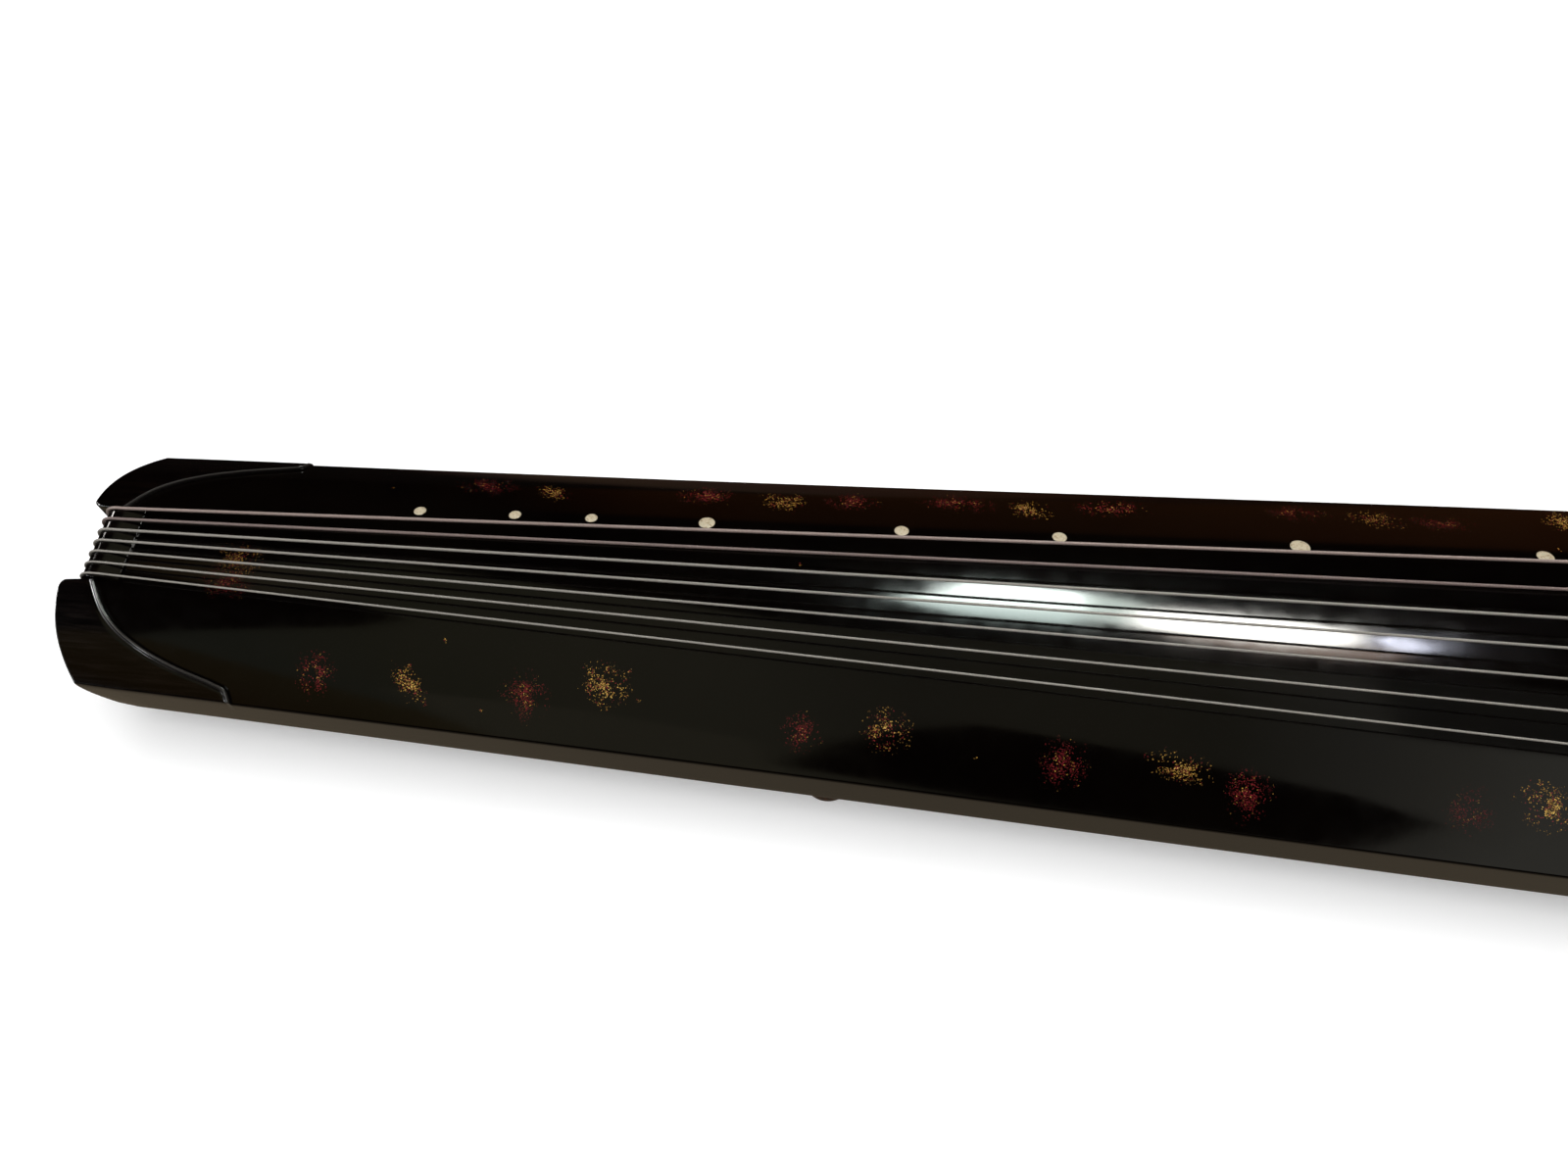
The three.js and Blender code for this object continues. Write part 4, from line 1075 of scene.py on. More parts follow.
def sound_posts():
    round_s, square_s = 0.786 * STRING_LENGTH, 0.46 * STRING_LENGTH
    high = float(top_at(round_s, 6)) - 11.05
    profile = [(0, JOINT), (5.4, JOINT), (6, JOINT + 0.6), (6, high - 0.6), (5.4, high), (0, high)]
    post = turned("softwood_round_post", profile, round_s, 0, BARE_WOOD, 48)
    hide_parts("sound_post_round")
    shade(post, 40)
    high = float(top_at(square_s, 6)) - 11.05
    outline = [(square_s + a, b) for a, b in ((-6, -6), (6, -6), (6, 6), (-6, 6))]
    square = prism("softwood_square_post", outline, JOINT, high, BARE_WOOD)
    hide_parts("sound_post_square")
    return [post, even_normals(shade(soften(square, 0.6), 40))]


# The strings: each comes from its knot behind the bridge, runs over bridge and nut, down the tail,
# round the sill and back along the underside to its foot.
def winding_start(index):
    first = 0 if index < ON_FAR_FOOT else ON_FAR_FOOT
    z = UNDERSIDE - 2 - TURN_GAP - STRING_DIAMETERS[first] / 2
    for i in range(first, index):
        apart = (STRING_DIAMETERS[i] + STRING_DIAMETERS[i + 1]) / 2 + TURN_GAP
        fall = STRING_TURNS * (STRING_DIAMETERS[i] + TURN_GAP)
        z -= fall + apart - (STRING_TURNS - 1) * (STRING_DIAMETERS[i + 1] + TURN_GAP)
    return z


def winding(index, start):
    """Turns round the neck of a foot, from where the arriving string touches it."""
    radius = FOOT_NECK + STRING_DIAMETERS[index] / 2 + 0.05
    side = 1 if index < ON_FAR_FOOT else -1
    centre = np.array([CREST_X + FOOT_PLACE, FOOT_OUT])
    towards = centre - np.array([start[0], side * start[1]])
    heading = math.atan2(towards[1], towards[0]) - math.asin(radius / np.linalg.norm(towards))
    steps = 48
    pitch = STRING_DIAMETERS[index] + TURN_GAP
    points = []
    for i in range(round(STRING_TURNS * steps) + 1):
        angle = heading - math.pi / 2 + i * 2 * math.pi / steps
        points.append((
            centre[0] + radius * math.cos(angle),
            side * (centre[1] + radius * math.sin(angle)),
            winding_start(index) - pitch * i / steps,
        ))
    return points


def knot_path(x, y, z, size):
    """A closed overhand knot about a place."""
    t = np.linspace(0, 2 * math.pi, 97)[:-1]
    return np.stack([
        x + size * 0.30 * -np.sin(3 * t),
        y + size * 0.31 * (np.sin(t) + 2 * np.sin(2 * t)),
        z + size * 0.31 * (np.cos(t) - 2 * np.cos(2 * t)),
    ], axis=1)


def over_bridge(index):
    """Height of a string's centre line over the bridge."""
    fall = BRIDGE_FALL * ((3 - index) * BRIDGE_PITCH / (3 * BRIDGE_PITCH)) ** 2
    return BOARD_TOP + BRIDGE_TOP - fall + STRING_DIAMETERS[index] / 2 + 0.04


def guqin_string(index):
    radius = STRING_DIAMETERS[index] / 2
    lift = radius + 0.04
    tail_y, head_y = (3 - index) * TAIL_PITCH, (3 - index) * BRIDGE_PITCH
    high = over_bridge(index)
    back = STRING_LENGTH + BRIDGE_THICK
    nut_height = BOARD_TOP + NUT_CREST
    low = UNDERSIDE - SILL_PROUD
    route = [(back + 1.2, head_y, high - 2.2)]
    route += [(s, head_y, z) for s, z in arc(back - 1.1, high - 1.1 - lift, 1.1 + lift, 20, 90, 6)]
    route += [(STRING_LENGTH + 1.1, head_y, high), (0, tail_y, nut_height + lift)]
    nut_bend = arc(-NOTCH_FACE + NUT_ROUND, nut_height - NUT_ROUND, NUT_ROUND + lift, 90, 180, 12)
    route += [(s, tail_y, z) for s, z in nut_bend]
    route += [(-NOTCH_FACE - lift, tail_y, BOARD_TOP - ARRIS_DROP)]
    sill_bend = arc(-SILL_REACH + SILL_ROUND, low + SILL_ROUND, SILL_ROUND + lift, 180, 270, 12)
    route += [(s, tail_y, z) for s, z in sill_bend]
    route += [(SILL_FRONT, tail_y, low - lift)]
    path = [(CREST_X + s, y, z) for s, y, z in route]
    path += winding(index, path[-1])
    finish = COPPER_STRINGS[index] if index < 2 else PALE_STRING
    wire = tube("wire", path, radius, 14, finish)
    knot = knot_path(CREST_X + back + 2.3, head_y, high - 2.4, 1.9)
    tied = tube("knot", knot, min(radius, 0.62), 10, finish, closed=True)
    piece = joined("wound_string_" + str(index + 1), [wire, tied])
    piece.data.shade_smooth()
    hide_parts("string_" + str(index + 1))
    return piece


def smooth_path(points, spacing):
    """A smooth line through points, as points at even steps."""
    points = [2 * np.array(points[0]) - points[1], *map(np.array, points)]
    points.append(2 * points[-1] - points[-2])
    line = []
    for a, b, c, d in zip(points, points[1:], points[2:], points[3:]):
        for t in np.linspace(0, 1, 20, endpoint=False):
            line.append(0.5 * (
                2 * b + (c - a) * t + (2 * a - 5 * b + 4 * c - d) * t**2
                + (3 * b - a - 3 * c + d) * t**3
            ))
    line.append(points[-2])
    line = np.array(line)
    length = np.linalg.norm(np.diff(line, axis=0), axis=1).sum()
    return resampled(line, max(4, round(length / spacing)))


def silk_loop(index):
    """The upper part of a silk loop: up the bore, out of the apron and round the string's knot."""
    y = (3 - index) * BRIDGE_PITCH
    axis = CREST_X + PEG_PLACE
    knot_x = CREST_X + STRING_LENGTH + BRIDGE_THICK + 2.3
    knot_z = over_bridge(index) - 2.4
    apron = float(top_at(PEG_PLACE, y)) + APRON_THICK
    route = [
        (axis, y, PEG_TOP + 0.02), (axis, y, 55), (axis, y, apron - 3), (axis - 0.3, y, apron),
        (axis - 3, y, apron + 3), (knot_x + 2.6, y, knot_z - 3.2), (knot_x + 1.0, y, knot_z - 2.2),
    ]
    lead = tube(
        "lead", smooth_path(route, 0.5), SILK / 2, 16, SILK_CORD, ridges=3, lay=7, depth=0.3
    )
    angles = np.linspace(0, 2 * math.pi, 49)[:-1]
    ring = [(knot_x, y + 1.9 * math.cos(a), knot_z + 2.1 * math.sin(a)) for a in angles]
    eye = tube("eye", ring, 0.5, 10, SILK_CORD, closed=True)
    piece = joined("silk_cord_loop_" + str(index + 1), [lead, eye])
    piece.data.shade_smooth()
    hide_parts("silk_loop_" + str(index + 1))
    return piece


def peg_cord(index):
    """The lower part of a silk loop: down the peg, out at the side and round its neck."""
    y = (3 - index) * BRIDGE_PITCH
    axis = CREST_X + PEG_PLACE
    radius = PEG_NECK + SILK / 2 + 0.1
    level = PEG_CORD_LEVEL
    route = [(axis, y, PEG_TOP - 0.02), (axis, y, level + 3), (axis + 0.4, y, level + 0.6)]
    route += [(axis + 1.6, y, level), (axis + radius - 1.2, y, level)]
    turns = [
        (axis + radius * math.cos(a), y + radius * math.sin(a), level - 2.3 * a / (2 * math.pi))
        for a in np.linspace(0.3, 2.5 * math.pi + 0.3, 60)
    ]
    path = np.concatenate([smooth_path(route + turns[:3], 0.5)[:-2], turns[3:]])
    cord = tube(
        "silk_peg_cord_" + str(index + 1), resampled(path, 130), SILK / 2, 16, SILK_CORD,
        ridges=3, lay=7, depth=0.3,
    )
    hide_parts("peg_cord_" + str(index + 1))
    return cord


# Pieces that repeat are set out by node trees.
def new_tree(name, sizes):
    """A node tree with a mesh in, a mesh out and named sizes. Returns it and its two end nodes."""
    tree = bpy.data.node_groups.new(name, "GeometryNodeTree")
    tree.interface.new_socket("Places", in_out="INPUT", socket_type="NodeSocketGeometry")
    for size, kind in sizes.items():
        tree.interface.new_socket(size, in_out="INPUT", socket_type="NodeSocket" + kind)
    tree.interface.new_socket("Mesh", in_out="OUTPUT", socket_type="NodeSocketGeometry")
    return tree, add(tree, "NodeGroupInput"), add(tree, "NodeGroupOutput")


def places_with(name, places, **values):
    """A mesh of bare points in millimetres, each with its own values."""
    mesh = bpy.data.meshes.new(name)
    mesh.from_pydata([Vector(p) * MM for p in places], [], [])
    for key, numbers in values.items():
        kind = "FLOAT_VECTOR" if np.ndim(numbers[0]) else "FLOAT"
        layer = mesh.attributes.new(key, kind, "POINT")
        field = "vector" if kind == "FLOAT_VECTOR" else "value"
        layer.data.foreach_set(field, np.ravel(numbers).astype(float))
    piece = bpy.data.objects.new(name, mesh)
    scene.collection.objects.link(piece)
    return piece


def set_out(piece, tree, **values):
    """Runs a node tree on a piece with its sizes, and leaves a plain mesh."""
    modifier = piece.modifiers.new("set_out", "NODES")
    modifier.node_group = tree
    for item in tree.interface.items_tree:
        if item.item_type == "SOCKET" and item.in_out == "INPUT" and item.name in values:
            modifier[item.identifier] = values[item.name]
    return settle(piece)


def shell_studs():
    """One polished disc, slightly domed, set on every stud place and turned to the board there."""
    profile = [(0, 0), (0.6, -0.004), (0.85, -0.012), (0.93, -0.03), (0.975, -0.07), (1, -0.13)]
    profile += [(1, -0.42), (0, -0.42)]
    disc_points = turned("stud", profile, -CREST_X, 0, SHELL, 48)
    tree, start, end = new_tree("studs_on_the_board", {
        "Stud": "Object", "Proud": "Float", "Shell": "Material",
    })
    radius = add(tree, "GeometryNodeInputNamedAttribute", {"Name": "radius"}, data_type="FLOAT")
    upright = add(tree, "GeometryNodeInputNamedAttribute", {"Name": "upright"}, data_type="FLOAT_VECTOR")
    lift = add(tree, "ShaderNodeVectorMath", {0: upright, "Scale": (start, "Proud")}, operation="SCALE")
    raised = add(tree, "GeometryNodeSetPosition", {"Geometry": (start, "Places"), "Offset": lift})
    turn = add(tree, "FunctionNodeAlignRotationToVector", {"Vector": upright}, axis="Z")
    stud = add(tree, "GeometryNodeObjectInfo", {"Object": (start, "Stud")})
    set_studs = add(tree, "GeometryNodeInstanceOnPoints", {
        "Points": raised, "Instance": (stud, "Geometry"), "Rotation": turn, "Scale": radius,
    })
    real = add(tree, "GeometryNodeRealizeInstances", {"Geometry": set_studs})
    done = add(tree, "GeometryNodeSetMaterial", {"Geometry": real, "Material": (start, "Shell")})
    tree.links.new(done.outputs[0], end.inputs[0])
    found = stud_places()
    piece = places_with(
        "shell_studs", [place for place, _, _ in found],
        radius=[radius for _, _, radius in found], upright=[tuple(up) for _, up, _ in found],
    )
    set_out(piece, tree, Stud=disc_points, Proud=0.12 * MM, Shell=SHELL)
    bpy.data.objects.remove(disc_points)
    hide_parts(*["hui_dot_" + str(i + 1) for i in range(13)])
    return shade(piece, 50)


# Clusters of flecks: distance from the crest, side place, reach along and across, turn in degrees,
# how golden each is, and how bright.
SEEN_CLUSTERS = [
    (110, -52.5, 12, 12, -30, 0, 0.9), (154, -53, 15, 7, -40, 1, 1), (209, -54.5, 15, 12, -40, 0, 0.8),
    (245, -48, 15, 12, -25, 1, 1.1), (335, -60.5, 12, 10, 0, 0, 0.8), (373, -57, 13, 12, 0, 0.7, 1),
    (450, -64.5, 14, 13, -20, 0, 0.8), (500, -62, 18, 8, -10, 1, 1), (529, -70.5, 13, 14, 0, 0, 0.8),
    (621, -70, 13, 12, 0, 0, 0.55), (652, -66, 17, 12, -20, 1, 1), (63, -3, 16, 12, 0, 0.8, 0.6),
    (60, -15, 15, 11, 0, 0, 0.55), (167, 57, 19, 9, 0, 0, 0.6), (201, 55, 13, 7, -20, 0.9, 0.8),
    (277, 61, 18, 10, 0, 0, 0.8), (315, 59.5, 15, 10, 0, 0.9, 0.85), (348, 63, 17, 9, 0, 0, 0.75),
    (400, 67.5, 22, 9, 0, 0, 0.75), (435, 66, 14, 9, -20, 1, 1), (475, 71.5, 23, 9, 0, 0, 0.85),
    (563, 77, 18, 8, 0, 0, 0.55), (600, 76, 18, 9, -10, 0.7, 0.7), (631, 76, 20, 8, 0, 0, 0.5),
]
UNSEEN_CLUSTERS = [
    (694, -72, 13, 11, 0, 0, 0.8), (741, -66, 15, 12.8, 0, 1, 1), (790, -79, 12, 10, 0, 0, 0.8),
    (835, -70, 14, 11.9, 0, 1, 1), (872, -80, 12, 10, 0, 0, 0.8), (930, -66, 14, 12, 0, 0, 0.8),
    (968, -72, 13, 11, 0, 1, 1), (1020, -64, 13, 11, 0, 0, 0.8), (1068, -70, 14, 12, 0, 1, 1),
    (1180, -55, 13, 11, 0, 0, 0.8), (690, 83, 13, 11, 0, 1, 1), (735, 84, 12, 10, 0, 0, 0.8),
    (788, 87, 13, 11, 0, 0, 0.8), (826, 86, 12, 10, 0, 1, 1), (880, 84, 13, 11, 0, 0, 0.8),
    (935, 79, 12, 10, 0, 1, 1), (985, 76, 13, 11, 0, 0, 0.8), (1045, 74, 12, 10, 0, 0, 0.8),
    (1085, 76, 12, 10, 0, 1, 1), (1182, 52, 14, 12, 0, 1, 1),
]
# Single flecks: distance from the crest and side place.
STRAY_FLECKS = [
    (169, -34), (189, -62), (412, -65), (261, -53), (256, -41), (327, 18), (120, 50), (680, 62),
    (154, -46),
]


def fleck_tree():
    """Gold powder and red lacquer dabbed in loose clusters: flakes half a millimetre to a millimetre
    wide, close together in the middle of a cluster and torn at its edge, laid on the board."""
    tree, start, end = new_tree("flecks_on_the_board", {
        "Board": "Object", "Density": "Float", "Flake": "Float", "Thick": "Float",
        "Gold": "Material", "Red": "Material",
    })
    place = add(tree, "GeometryNodeInputPosition")
    from_middle = add(tree, "ShaderNodeVectorMath", {0: place}, operation="LENGTH")
    patch = add(tree, "GeometryNodeMeshCircle", {"Vertices": 32, "Radius": 1}, fill_type="TRIANGLE_FAN")
    marked = add(tree, "GeometryNodeStoreNamedAttribute", {
        "Geometry": patch, "Name": "out", "Value": (from_middle, "Value"),
    }, data_type="FLOAT", domain="POINT")
    reach = add(tree, "GeometryNodeInputNamedAttribute", {"Name": "reach"}, data_type="FLOAT_VECTOR")
    spin = add(tree, "GeometryNodeInputNamedAttribute", {"Name": "turn"}, data_type="FLOAT_VECTOR")
    patches = add(tree, "GeometryNodeInstanceOnPoints", {
        "Points": (start, "Places"), "Instance": marked, "Rotation": spin, "Scale": reach,
    })
    spread = add(tree, "GeometryNodeRealizeInstances", {"Geometry": patches})
    all_dabs = add(tree, "GeometryNodeDistributePointsOnFaces", {
        "Mesh": spread, "Density": (start, "Density"), "Seed": 11,
    })
    out = add(tree, "GeometryNodeInputNamedAttribute", {"Name": "out"}, data_type="FLOAT")
    torn = add(tree, "ShaderNodeTexNoise", {"Scale": per_metre(7), "Detail": 3})
    patchy = add(tree, "ShaderNodeMapRange", {
        "Value": torn, "From Min": 0.42, "From Max": 0.58, "To Min": 0.15, "To Max": 1.6,
    })
    inward = add(tree, "ShaderNodeMath", {0: 1.0, 1: out}, operation="SUBTRACT")
    core = add(tree, "ShaderNodeMath", {0: inward, 1: 1.8}, operation="POWER")
    kept_share = add(tree, "ShaderNodeMath", {0: patchy, 1: core}, operation="MULTIPLY")
    lot = add(tree, "FunctionNodeRandomValue", {"Seed": 17, 2: 0.0, 3: 1.0}, data_type="FLOAT")
    left_out = add(tree, "FunctionNodeCompare", {0: (lot, 1), 1: kept_share}, operation="GREATER_THAN")
    dabs = add(tree, "GeometryNodeDeleteGeometry", {
        "Geometry": (all_dabs, "Points"), "Selection": left_out,
    }, domain="POINT")
    above = add(tree, "ShaderNodeVectorMath", {0: place, 1: (0, 0, 0.5)}, operation="ADD")
    board_info = add(tree, "GeometryNodeObjectInfo", {"Object": (start, "Board")})
    found = add(tree, "GeometryNodeRaycast", {
        "Target Geometry": (board_info, "Geometry"), "Source Position": above,
        "Ray Direction": (0, 0, -1), "Ray Length": 1,
    })
    laid = add(tree, "GeometryNodeSetPosition", {
        "Geometry": dabs, "Position": (found, "Hit Position"),
    })
    upright = add(tree, "FunctionNodeAlignRotationToVector", {"Vector": (found, "Hit Normal")}, axis="Z")
    quarter = add(tree, "FunctionNodeRandomValue", {"Seed": 7, 0: (0, 0, 0), 1: (0, 0, 6.28)},
                  data_type="FLOAT_VECTOR")
    turned_flat = add(tree, "FunctionNodeRotateRotation", {
        "Rotation": upright, "Rotate By": quarter,
    }, rotation_space="LOCAL")
    flake = add(tree, "GeometryNodeMeshCylinder", {
        "Vertices": 5, "Radius": (start, "Flake"), "Depth": (start, "Thick"),
    })
    ragged = add(tree, "FunctionNodeRandomValue", {"Seed": 9, 0: (0.35, 0.3, 1), 1: (1.25, 0.85, 1)},
                 data_type="FLOAT_VECTOR")
    flakes = add(tree, "GeometryNodeInstanceOnPoints", {
        "Points": laid, "Instance": (flake, "Mesh"), "Rotation": turned_flat, "Scale": ragged,
    })
    golden = add(tree, "GeometryNodeInputNamedAttribute", {"Name": "golden"}, data_type="FLOAT")
    chance = add(tree, "FunctionNodeRandomValue", {"Seed": 13, 2: 0.0, 3: 1.0}, data_type="FLOAT")
    share = add(tree, "ShaderNodeMapRange", {"Value": golden, "To Min": 0.08, "To Max": 0.72})
    is_gold = add(tree, "FunctionNodeCompare", {0: (chance, 1), 1: share}, operation="LESS_THAN")
    marked_gold = add(tree, "GeometryNodeStoreNamedAttribute", {
        "Geometry": flakes, "Name": "is_gold", "Value": is_gold,
    }, data_type="BOOLEAN", domain="INSTANCE")
    own = add(tree, "FunctionNodeRandomValue", {"Seed": 21, 2: 0.0, 3: 1.0}, data_type="FLOAT")
    weight = add(tree, "ShaderNodeMapRange", {"Value": out, "To Min": 1.1, "To Max": 0.35})
    bright = add(tree, "GeometryNodeInputNamedAttribute", {"Name": "bright"}, data_type="FLOAT")
    own_tone = add(tree, "ShaderNodeMath", {0: (own, 1), 1: weight}, operation="MULTIPLY")
    tone = add(tree, "ShaderNodeMath", {0: own_tone, 1: bright}, operation="MULTIPLY")
    toned_flakes = add(tree, "GeometryNodeStoreNamedAttribute", {
        "Geometry": marked_gold, "Name": "tone", "Value": tone,
    }, data_type="FLOAT", domain="INSTANCE")
    real = add(tree, "GeometryNodeRealizeInstances", {"Geometry": toned_flakes})
    all_red = add(tree, "GeometryNodeSetMaterial", {"Geometry": real, "Material": (start, "Red")})
    kept = add(tree, "GeometryNodeInputNamedAttribute", {"Name": "is_gold"}, data_type="BOOLEAN")
    done = add(tree, "GeometryNodeSetMaterial", {
        "Geometry": all_red, "Selection": kept, "Material": (start, "Gold"),
    })
    tree.links.new(done.outputs[0], end.inputs[0])
    return tree


def lacquer_flecks(name, tree, board, clusters):
    """The flecks of one side of the board."""
    piece = places_with(
        name, [(CREST_X + s, y, 0) for s, y, *_ in clusters],
        reach=[(long * MM, wide * MM, 1) for _, _, long, wide, *_ in clusters],
        turn=[(0, 0, math.radians(turn)) for *_, turn, _, _ in clusters],
        golden=[float(gold) for *_, gold, _ in clusters],
        bright=[float(bright) for *_, bright in clusters],
    )
    return set_out(
        piece, tree, Board=board, Density=6200000.0, Flake=0.4 * MM, Thick=0.1 * MM, Gold=GOLD, Red=RED
    )


# Assembly.
board = soundboard()
body_pieces = [board, bottom_board()]
body_pieces += [crown_corner("lacquered_crown_near", -1, 0.5)]
body_pieces += [crown_corner("lacquered_crown_far", 1, 1.4)]
body_pieces += [tail_nut(), tail_sill(), bridge(), bridge_apron(), pond_plate()]
body_pieces += [hole_rim(hole) for hole in SOUND_HOLES]
body_pieces += [peg_guard("rosewood_guard_near", -1), peg_guard("rosewood_guard_far", 1)]
body_pieces += [goose_foot("rosewood_foot_near", -1), goose_foot("rosewood_foot_far", 1)]
body_pieces += sound_posts()
body_pieces += [shell_studs()]
flecks = fleck_tree()
clusters = SEEN_CLUSTERS + UNSEEN_CLUSTERS + [(s, y, 1.7, 1.5, 0, 1, 1) for s, y in STRAY_FLECKS]
for name, side in (("lacquer_flecks_near", -1), ("lacquer_flecks_far", 1)):
    on_side = [cluster for cluster in clusters if side * cluster[1] > 0]
    body_pieces.append(lacquer_flecks(name, flecks, board, on_side))
for index in range(7):
    body_pieces += [guqin_string(index), silk_loop(index)]
    for piece in (tuning_peg(index), peg_cord(index)):
        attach(piece, "peg_" + str(index + 1))
for piece in body_pieces:
    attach(piece, BODY)


# The studio: a pale floor under soft overhead light, and cards that only reflections see. The cards
# aren't plain studio light. They were placed and toned for one camera, so that the lacquer mirrors
# from there what it mirrors in the photograph. Without studio() it mirrors the white surroundings.
def glow(name, colour, strength):
    material = bpy.data.materials.new(name)
    material.use_nodes = True
    tree = material.node_tree
    tree.nodes.clear()
    light = add(tree, "ShaderNodeEmission", {"Color": linear(colour), "Strength": strength})
    add(tree, "ShaderNodeOutputMaterial", {"Surface": light})
    return material


def card(name, corners, colour, strength):
    """A flat card in metres that only reflections see."""
    mesh = bpy.data.meshes.new(name)
    mesh.from_pydata(corners, [], [list(range(len(corners)))])
    mesh.materials.append(glow(name, colour, strength))
    piece = bpy.data.objects.new(name, mesh)
    scene.collection.objects.link(piece)
    piece.visible_camera = False
    piece.visible_diffuse = False
    piece.visible_shadow = False
    piece.visible_transmission = False
    return piece


def toned(piece, axis, reach, tones):
    """Gives a card tones that change along an axis of the room, between two places in metres."""
    tree = piece.active_material.node_tree
    places = (add(tree, "ShaderNodeTexCoord"), "Object")
    apart = add(tree, "ShaderNodeSeparateXYZ", {"Vector": places})
    along = add(tree, "ShaderNodeMapRange", {
        "Value": (apart, axis), "From Min": reach[0], "From Max": reach[1],
    })
    tone = add(tree, "ShaderNodeValToRGB", {"Fac": along}, tones)
    tree.links.new(tone.outputs["Color"], tree.nodes["Emission"].inputs["Color"])


def level(points, height):
    return [(x, y, height) for x, y in points]


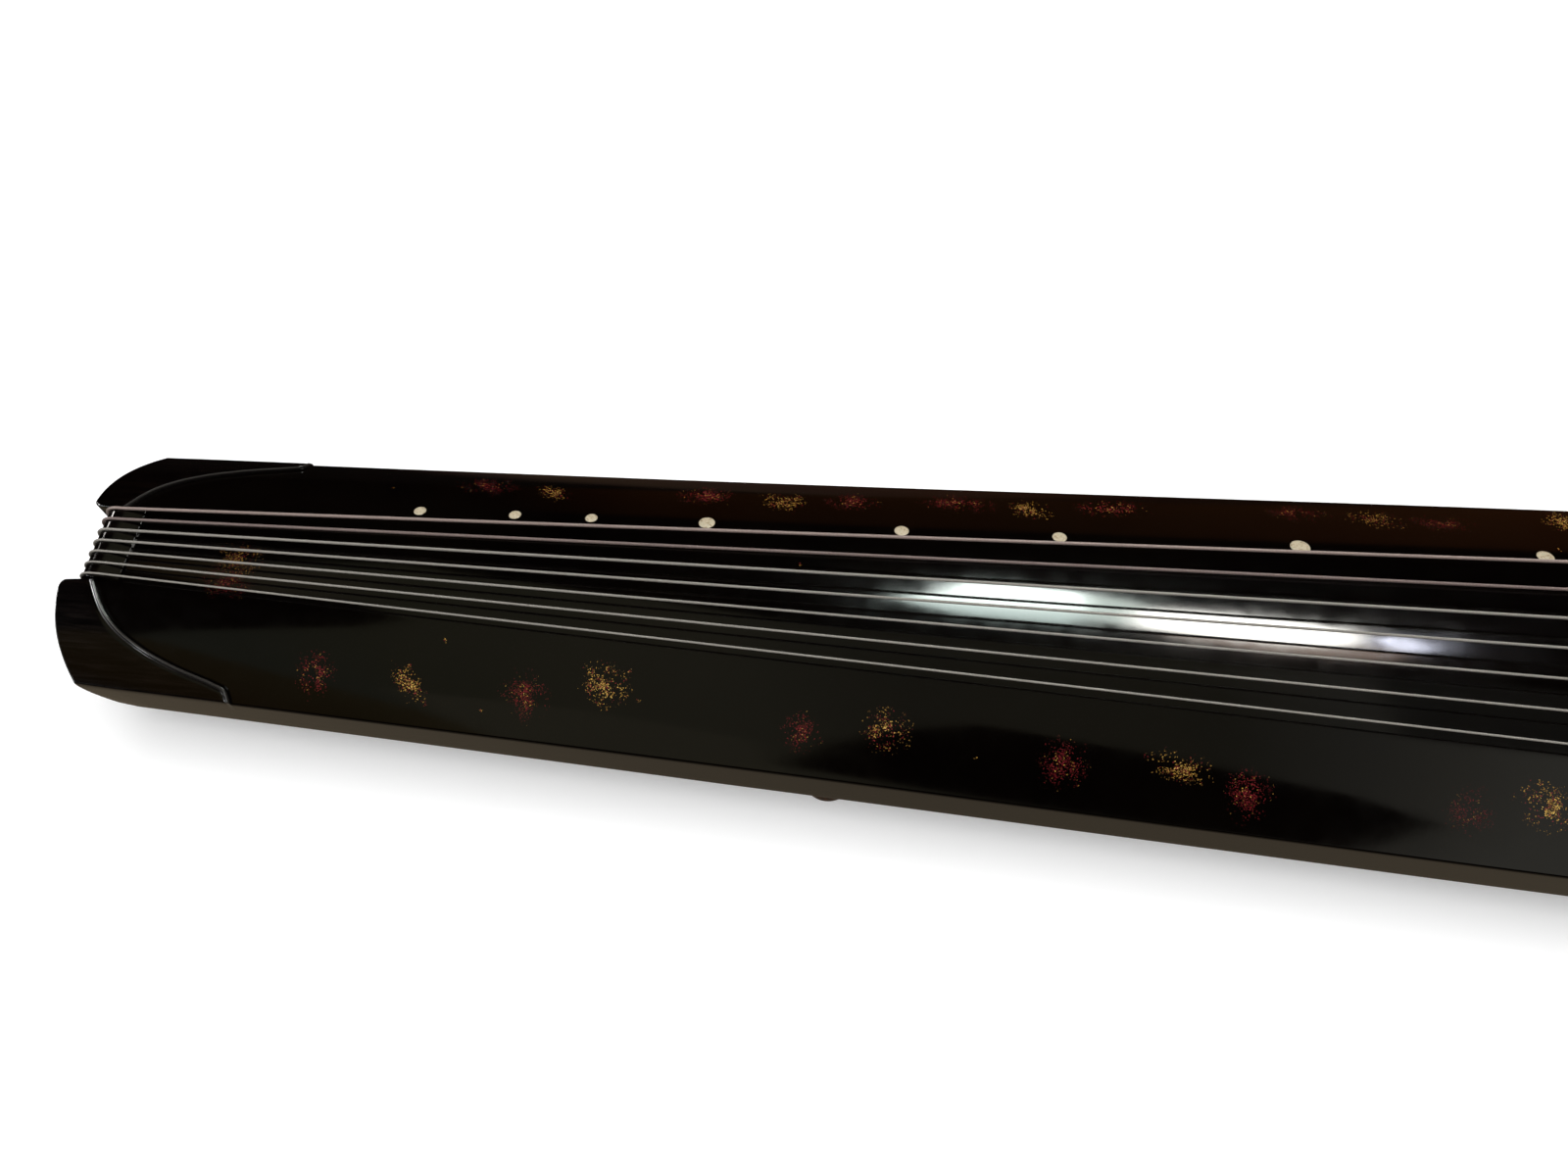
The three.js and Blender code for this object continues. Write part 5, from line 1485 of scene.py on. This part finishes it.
def studio():
    """The cards that the lacquer mirrors: dark walls, brown low down on the far side, a dim ceiling
    that brightens towards the head and fades to brown past the tail, a dark beam under it, a brown
    floor, and windows beyond the far side and past the tail. All places are in metres."""
    card("room_ceiling", level([(-6, -6), (6, -6), (6, 6), (-6, 6)], 2.4), "060403", 1)
    wall = [(-6, 6), (6, 6), (6, -6), (-6, -6)]
    for i, (a, b) in enumerate(zip(wall, wall[1:] + wall[:1])):
        corners = [(*a, 0), (*b, 0), (*b, 2.4), (*a, 2.4)]
        side = card("room_wall_" + str(i + 1), corners, "060403", 1)
        if i == 0:
            toned(side, "X", (-3, 3), [
                (0, "050403"), (0.1, "140804"), (0.25, "45260c"), (0.65, "492c12"), (0.9, "563218"),
            ])
    card("near_floor", level([(-6, -6), (6, -6), (6, 0), (-6, 0)], 0.0004), "7f7361", 1)
    far = card("far_floor", level([(-6, 0), (6, 0), (6, 6), (-6, 6)], 0.0004), "ffffff", 1)
    toned(far, "X", (-0.9, 0.7), [
        (0, "181411"), (0.2, "191613"), (0.225, "45352f"), (0.262, "65503f"), (0.35, "5f453a"),
        (0.456, "60402f"), (0.625, "40281a"), (0.875, "2f2018"),
    ])
    lit = card("lit_ceiling", level([
        (-1.2, -1.9), (1.3, -1.9), (1.3, 0.5), (-0.35, 0.5), (-1.15, 0.85), (-1.4, 0.75),
        (-1.33, 0.35), (-1.17, 0.3), (-1.05, 0.0), (-1.15, -0.2), (-1.32, -0.37), (-1.5, -0.56),
        (-1.66, -0.76), (-1.6, -0.92), (-1.5, -1.15), (-1.3, -1.5),
    ], 1.6), "ffffff", 1)
    toned(lit, "X", (-1.4, 1), [
        (0, "6c6f5f"), (0.12, "76755f"), (0.25, "807d68"), (0.4, "807d6a"), (0.5, "716e5e"),
        (0.72, "6c6a5a"), (0.8, "87857b"), (0.88, "a5a296"), (0.96, "c4c2b6"),
    ])
    tail = card("tail_ceiling", level([
        (-1.62, 0.4), (-1.6, 0.62), (-1.4, 0.68), (-1.1, 0.62), (-1.1, 0.22), (-1.35, 0.22),
    ], 1.599), "ffffff", 1)
    toned(tail, "X", (-1.62, -1.1), [(0, "4c3c2c"), (0.3, "7c6a4c"), (0.6, "8a806a"), (1, "7c7965")])
    card("near_ceiling", level([
        (-1.25, -1.9), (-0.48, -1.9), (-0.5, -1.15), (-0.85, -1.05), (-1.25, -1.15),
    ], 1.598), "8f8a74", 1)
    brown = card("brown_ceiling", level([
        (-1.2, -1.9), (-1.35, -0.75), (-1.3, -0.35), (-1.45, -0.55), (-1.62, -0.75), (-1.8, -0.84),
        (-2.0, -1.0), (-2.7, -2.2), (-1.2, -2.2),
    ], 1.601), "ffffff", 1)
    toned(brown, "X", (-2.5, -1.2), [
        (0, "3a2a12"), (0.25, "54421f"), (0.5, "5e4e30"), (0.75, "665a3c"), (1, "776a4a"),
    ])
    card("right_beam", level([(0.6, -0.1), (1.4, -0.1), (1.4, 0.5), (0.6, 0.5)], 1.59), "565650", 1)
    card("dark_beam", level([
        (-0.5, -1.5), (-0.36, -1.05), (-0.24, -0.74), (-0.07, -0.5), (0.25, -0.6), (0.56, -0.74),
        (0.72, -0.92), (0.62, -1.5),
    ], 1.58), "000000", 1)
    left = card("left_window", level([
        (-0.2, 0.88), (-0.08, 0.76), (0.12, 0.74), (0.15, 0.84), (0.17, 1.18), (-0.06, 1.27), (-0.12, 1.0),
    ], 1.575), "ffffff", 40)
    toned(left, "Y", (0.74, 1.02), [(0, "8c9894"), (0.45, "a4b2ad"), (0.7, "eefaf4")])
    card("window_post", level([(0.15, 0.8), (0.25, 0.78), (0.27, 1.08), (0.17, 1.16)], 1.575),
         "e4f4ea", 14)
    card("right_window", level([
        (0.235, 0.78), (0.384, 0.735), (0.516, 0.72), (0.617, 0.776), (0.64, 0.88), (0.552, 0.95),
        (0.418, 1.0), (0.254, 0.99),
    ], 1.575), "fffdf6", 45)
    card("window_sill", level([
        (0.28, 0.7), (0.45, 0.63), (0.66, 0.65), (0.7, 0.76), (0.6, 0.77), (0.516, 0.72), (0.384, 0.735),
        (0.3, 0.765),
    ], 1.576), "d0b6a6", 7)
    card("nut_window", level([(-2.9, 1.235), (-2.9, 1.6), (-4.1, 2.2), (-4.1, 1.7)], 1.6), "f2ece8", 26)
    card("curl_window", level([(-3.5, -2.65), (-3.5, -3.0), (-4.6, -3.65), (-4.6, -3.3)], 1.59),
         "f4fbff", 30)
    line = card("crown_window", level([
        (-2.5, 0), (-2.5, -1.3), (-3.0, -3.2), (-4.2, -3.2), (-3.7, -0.4),
    ], 1.6), "ffffff", 55)
    toned(line, "Y", (-3.2, 0), [
        (0, "202020"), (0.35, "282828"), (0.55, "404040"), (0.75, "a0a0a0"), (0.85, "ffffff"),
    ])
    card("small_window", level([(0.69, 0.75), (0.745, 0.78), (0.715, 0.875), (0.665, 0.84)], 1.575),
         "e8ecff", 50)


# How much the floor glows where the eye sees it, the softbox's power, and the sky's light on things.
FLOOR_GLOW = 0.35
SOFTBOX_POWER = 48
SKY_LIGHT = 0.45


def shown_to_the_eye(tree):
    """1 where the camera sees a thing, also in something glossy or through something clear."""
    path = add(tree, "ShaderNodeLightPath")
    seen = add(tree, "ShaderNodeMath", {
        0: (path, "Is Camera Ray"), 1: (path, "Is Glossy Ray"),
    }, operation="MAXIMUM")
    return add(tree, "ShaderNodeMath", {0: seen, 1: (path, "Is Transmission Ray")}, operation="MAXIMUM")


def floor_and_light():
    material, tree, shader = new_finish("pale_floor", Roughness=0.9, Specular_IOR_Level=0.1)
    shader.inputs["Base Color"].default_value = linear("e9e9e9")
    shown = shown_to_the_eye(tree)
    white = add(tree, "ShaderNodeMath", {0: shown, 1: FLOOR_GLOW}, operation="MULTIPLY")
    shader.inputs["Emission Color"].default_value = linear("ffffff")
    tree.links.new(white.outputs[0], shader.inputs["Emission Strength"])
    mesh = bpy.data.meshes.new("pale_floor")
    mesh.from_pydata(level([(-9, -9), (9, -9), (9, 9), (-9, 9)], -0.0002), [], [[0, 1, 2, 3]])
    mesh.materials.append(material)
    floor = bpy.data.objects.new("pale_floor", mesh)
    scene.collection.objects.link(floor)

    data = bpy.data.lights.new("overhead_softbox", "AREA")
    data.shape = "RECTANGLE"
    data.size, data.size_y = 2.6, 2.2
    data.energy = SOFTBOX_POWER
    softbox = bpy.data.objects.new("overhead_softbox", data)
    softbox.location = (-0.1, 0.3, 2.1)
    softbox.rotation_euler = (math.radians(-8), 0, 0)
    softbox.visible_camera = False
    softbox.visible_glossy = False
    scene.collection.objects.link(softbox)

    world = bpy.data.worlds.new("studio")
    scene.world = world
    world.use_nodes = True
    tree = world.node_tree
    background = tree.nodes["Background"]
    shown = shown_to_the_eye(tree)
    strength = add(tree, "ShaderNodeMapRange", {"Value": shown, "To Min": SKY_LIGHT, "To Max": 1})
    background.inputs["Color"].default_value = linear("ffffff")
    tree.links.new(strength.outputs[0], background.inputs["Strength"])
    scene.view_settings.view_transform = "Standard"


studio()
floor_and_light()
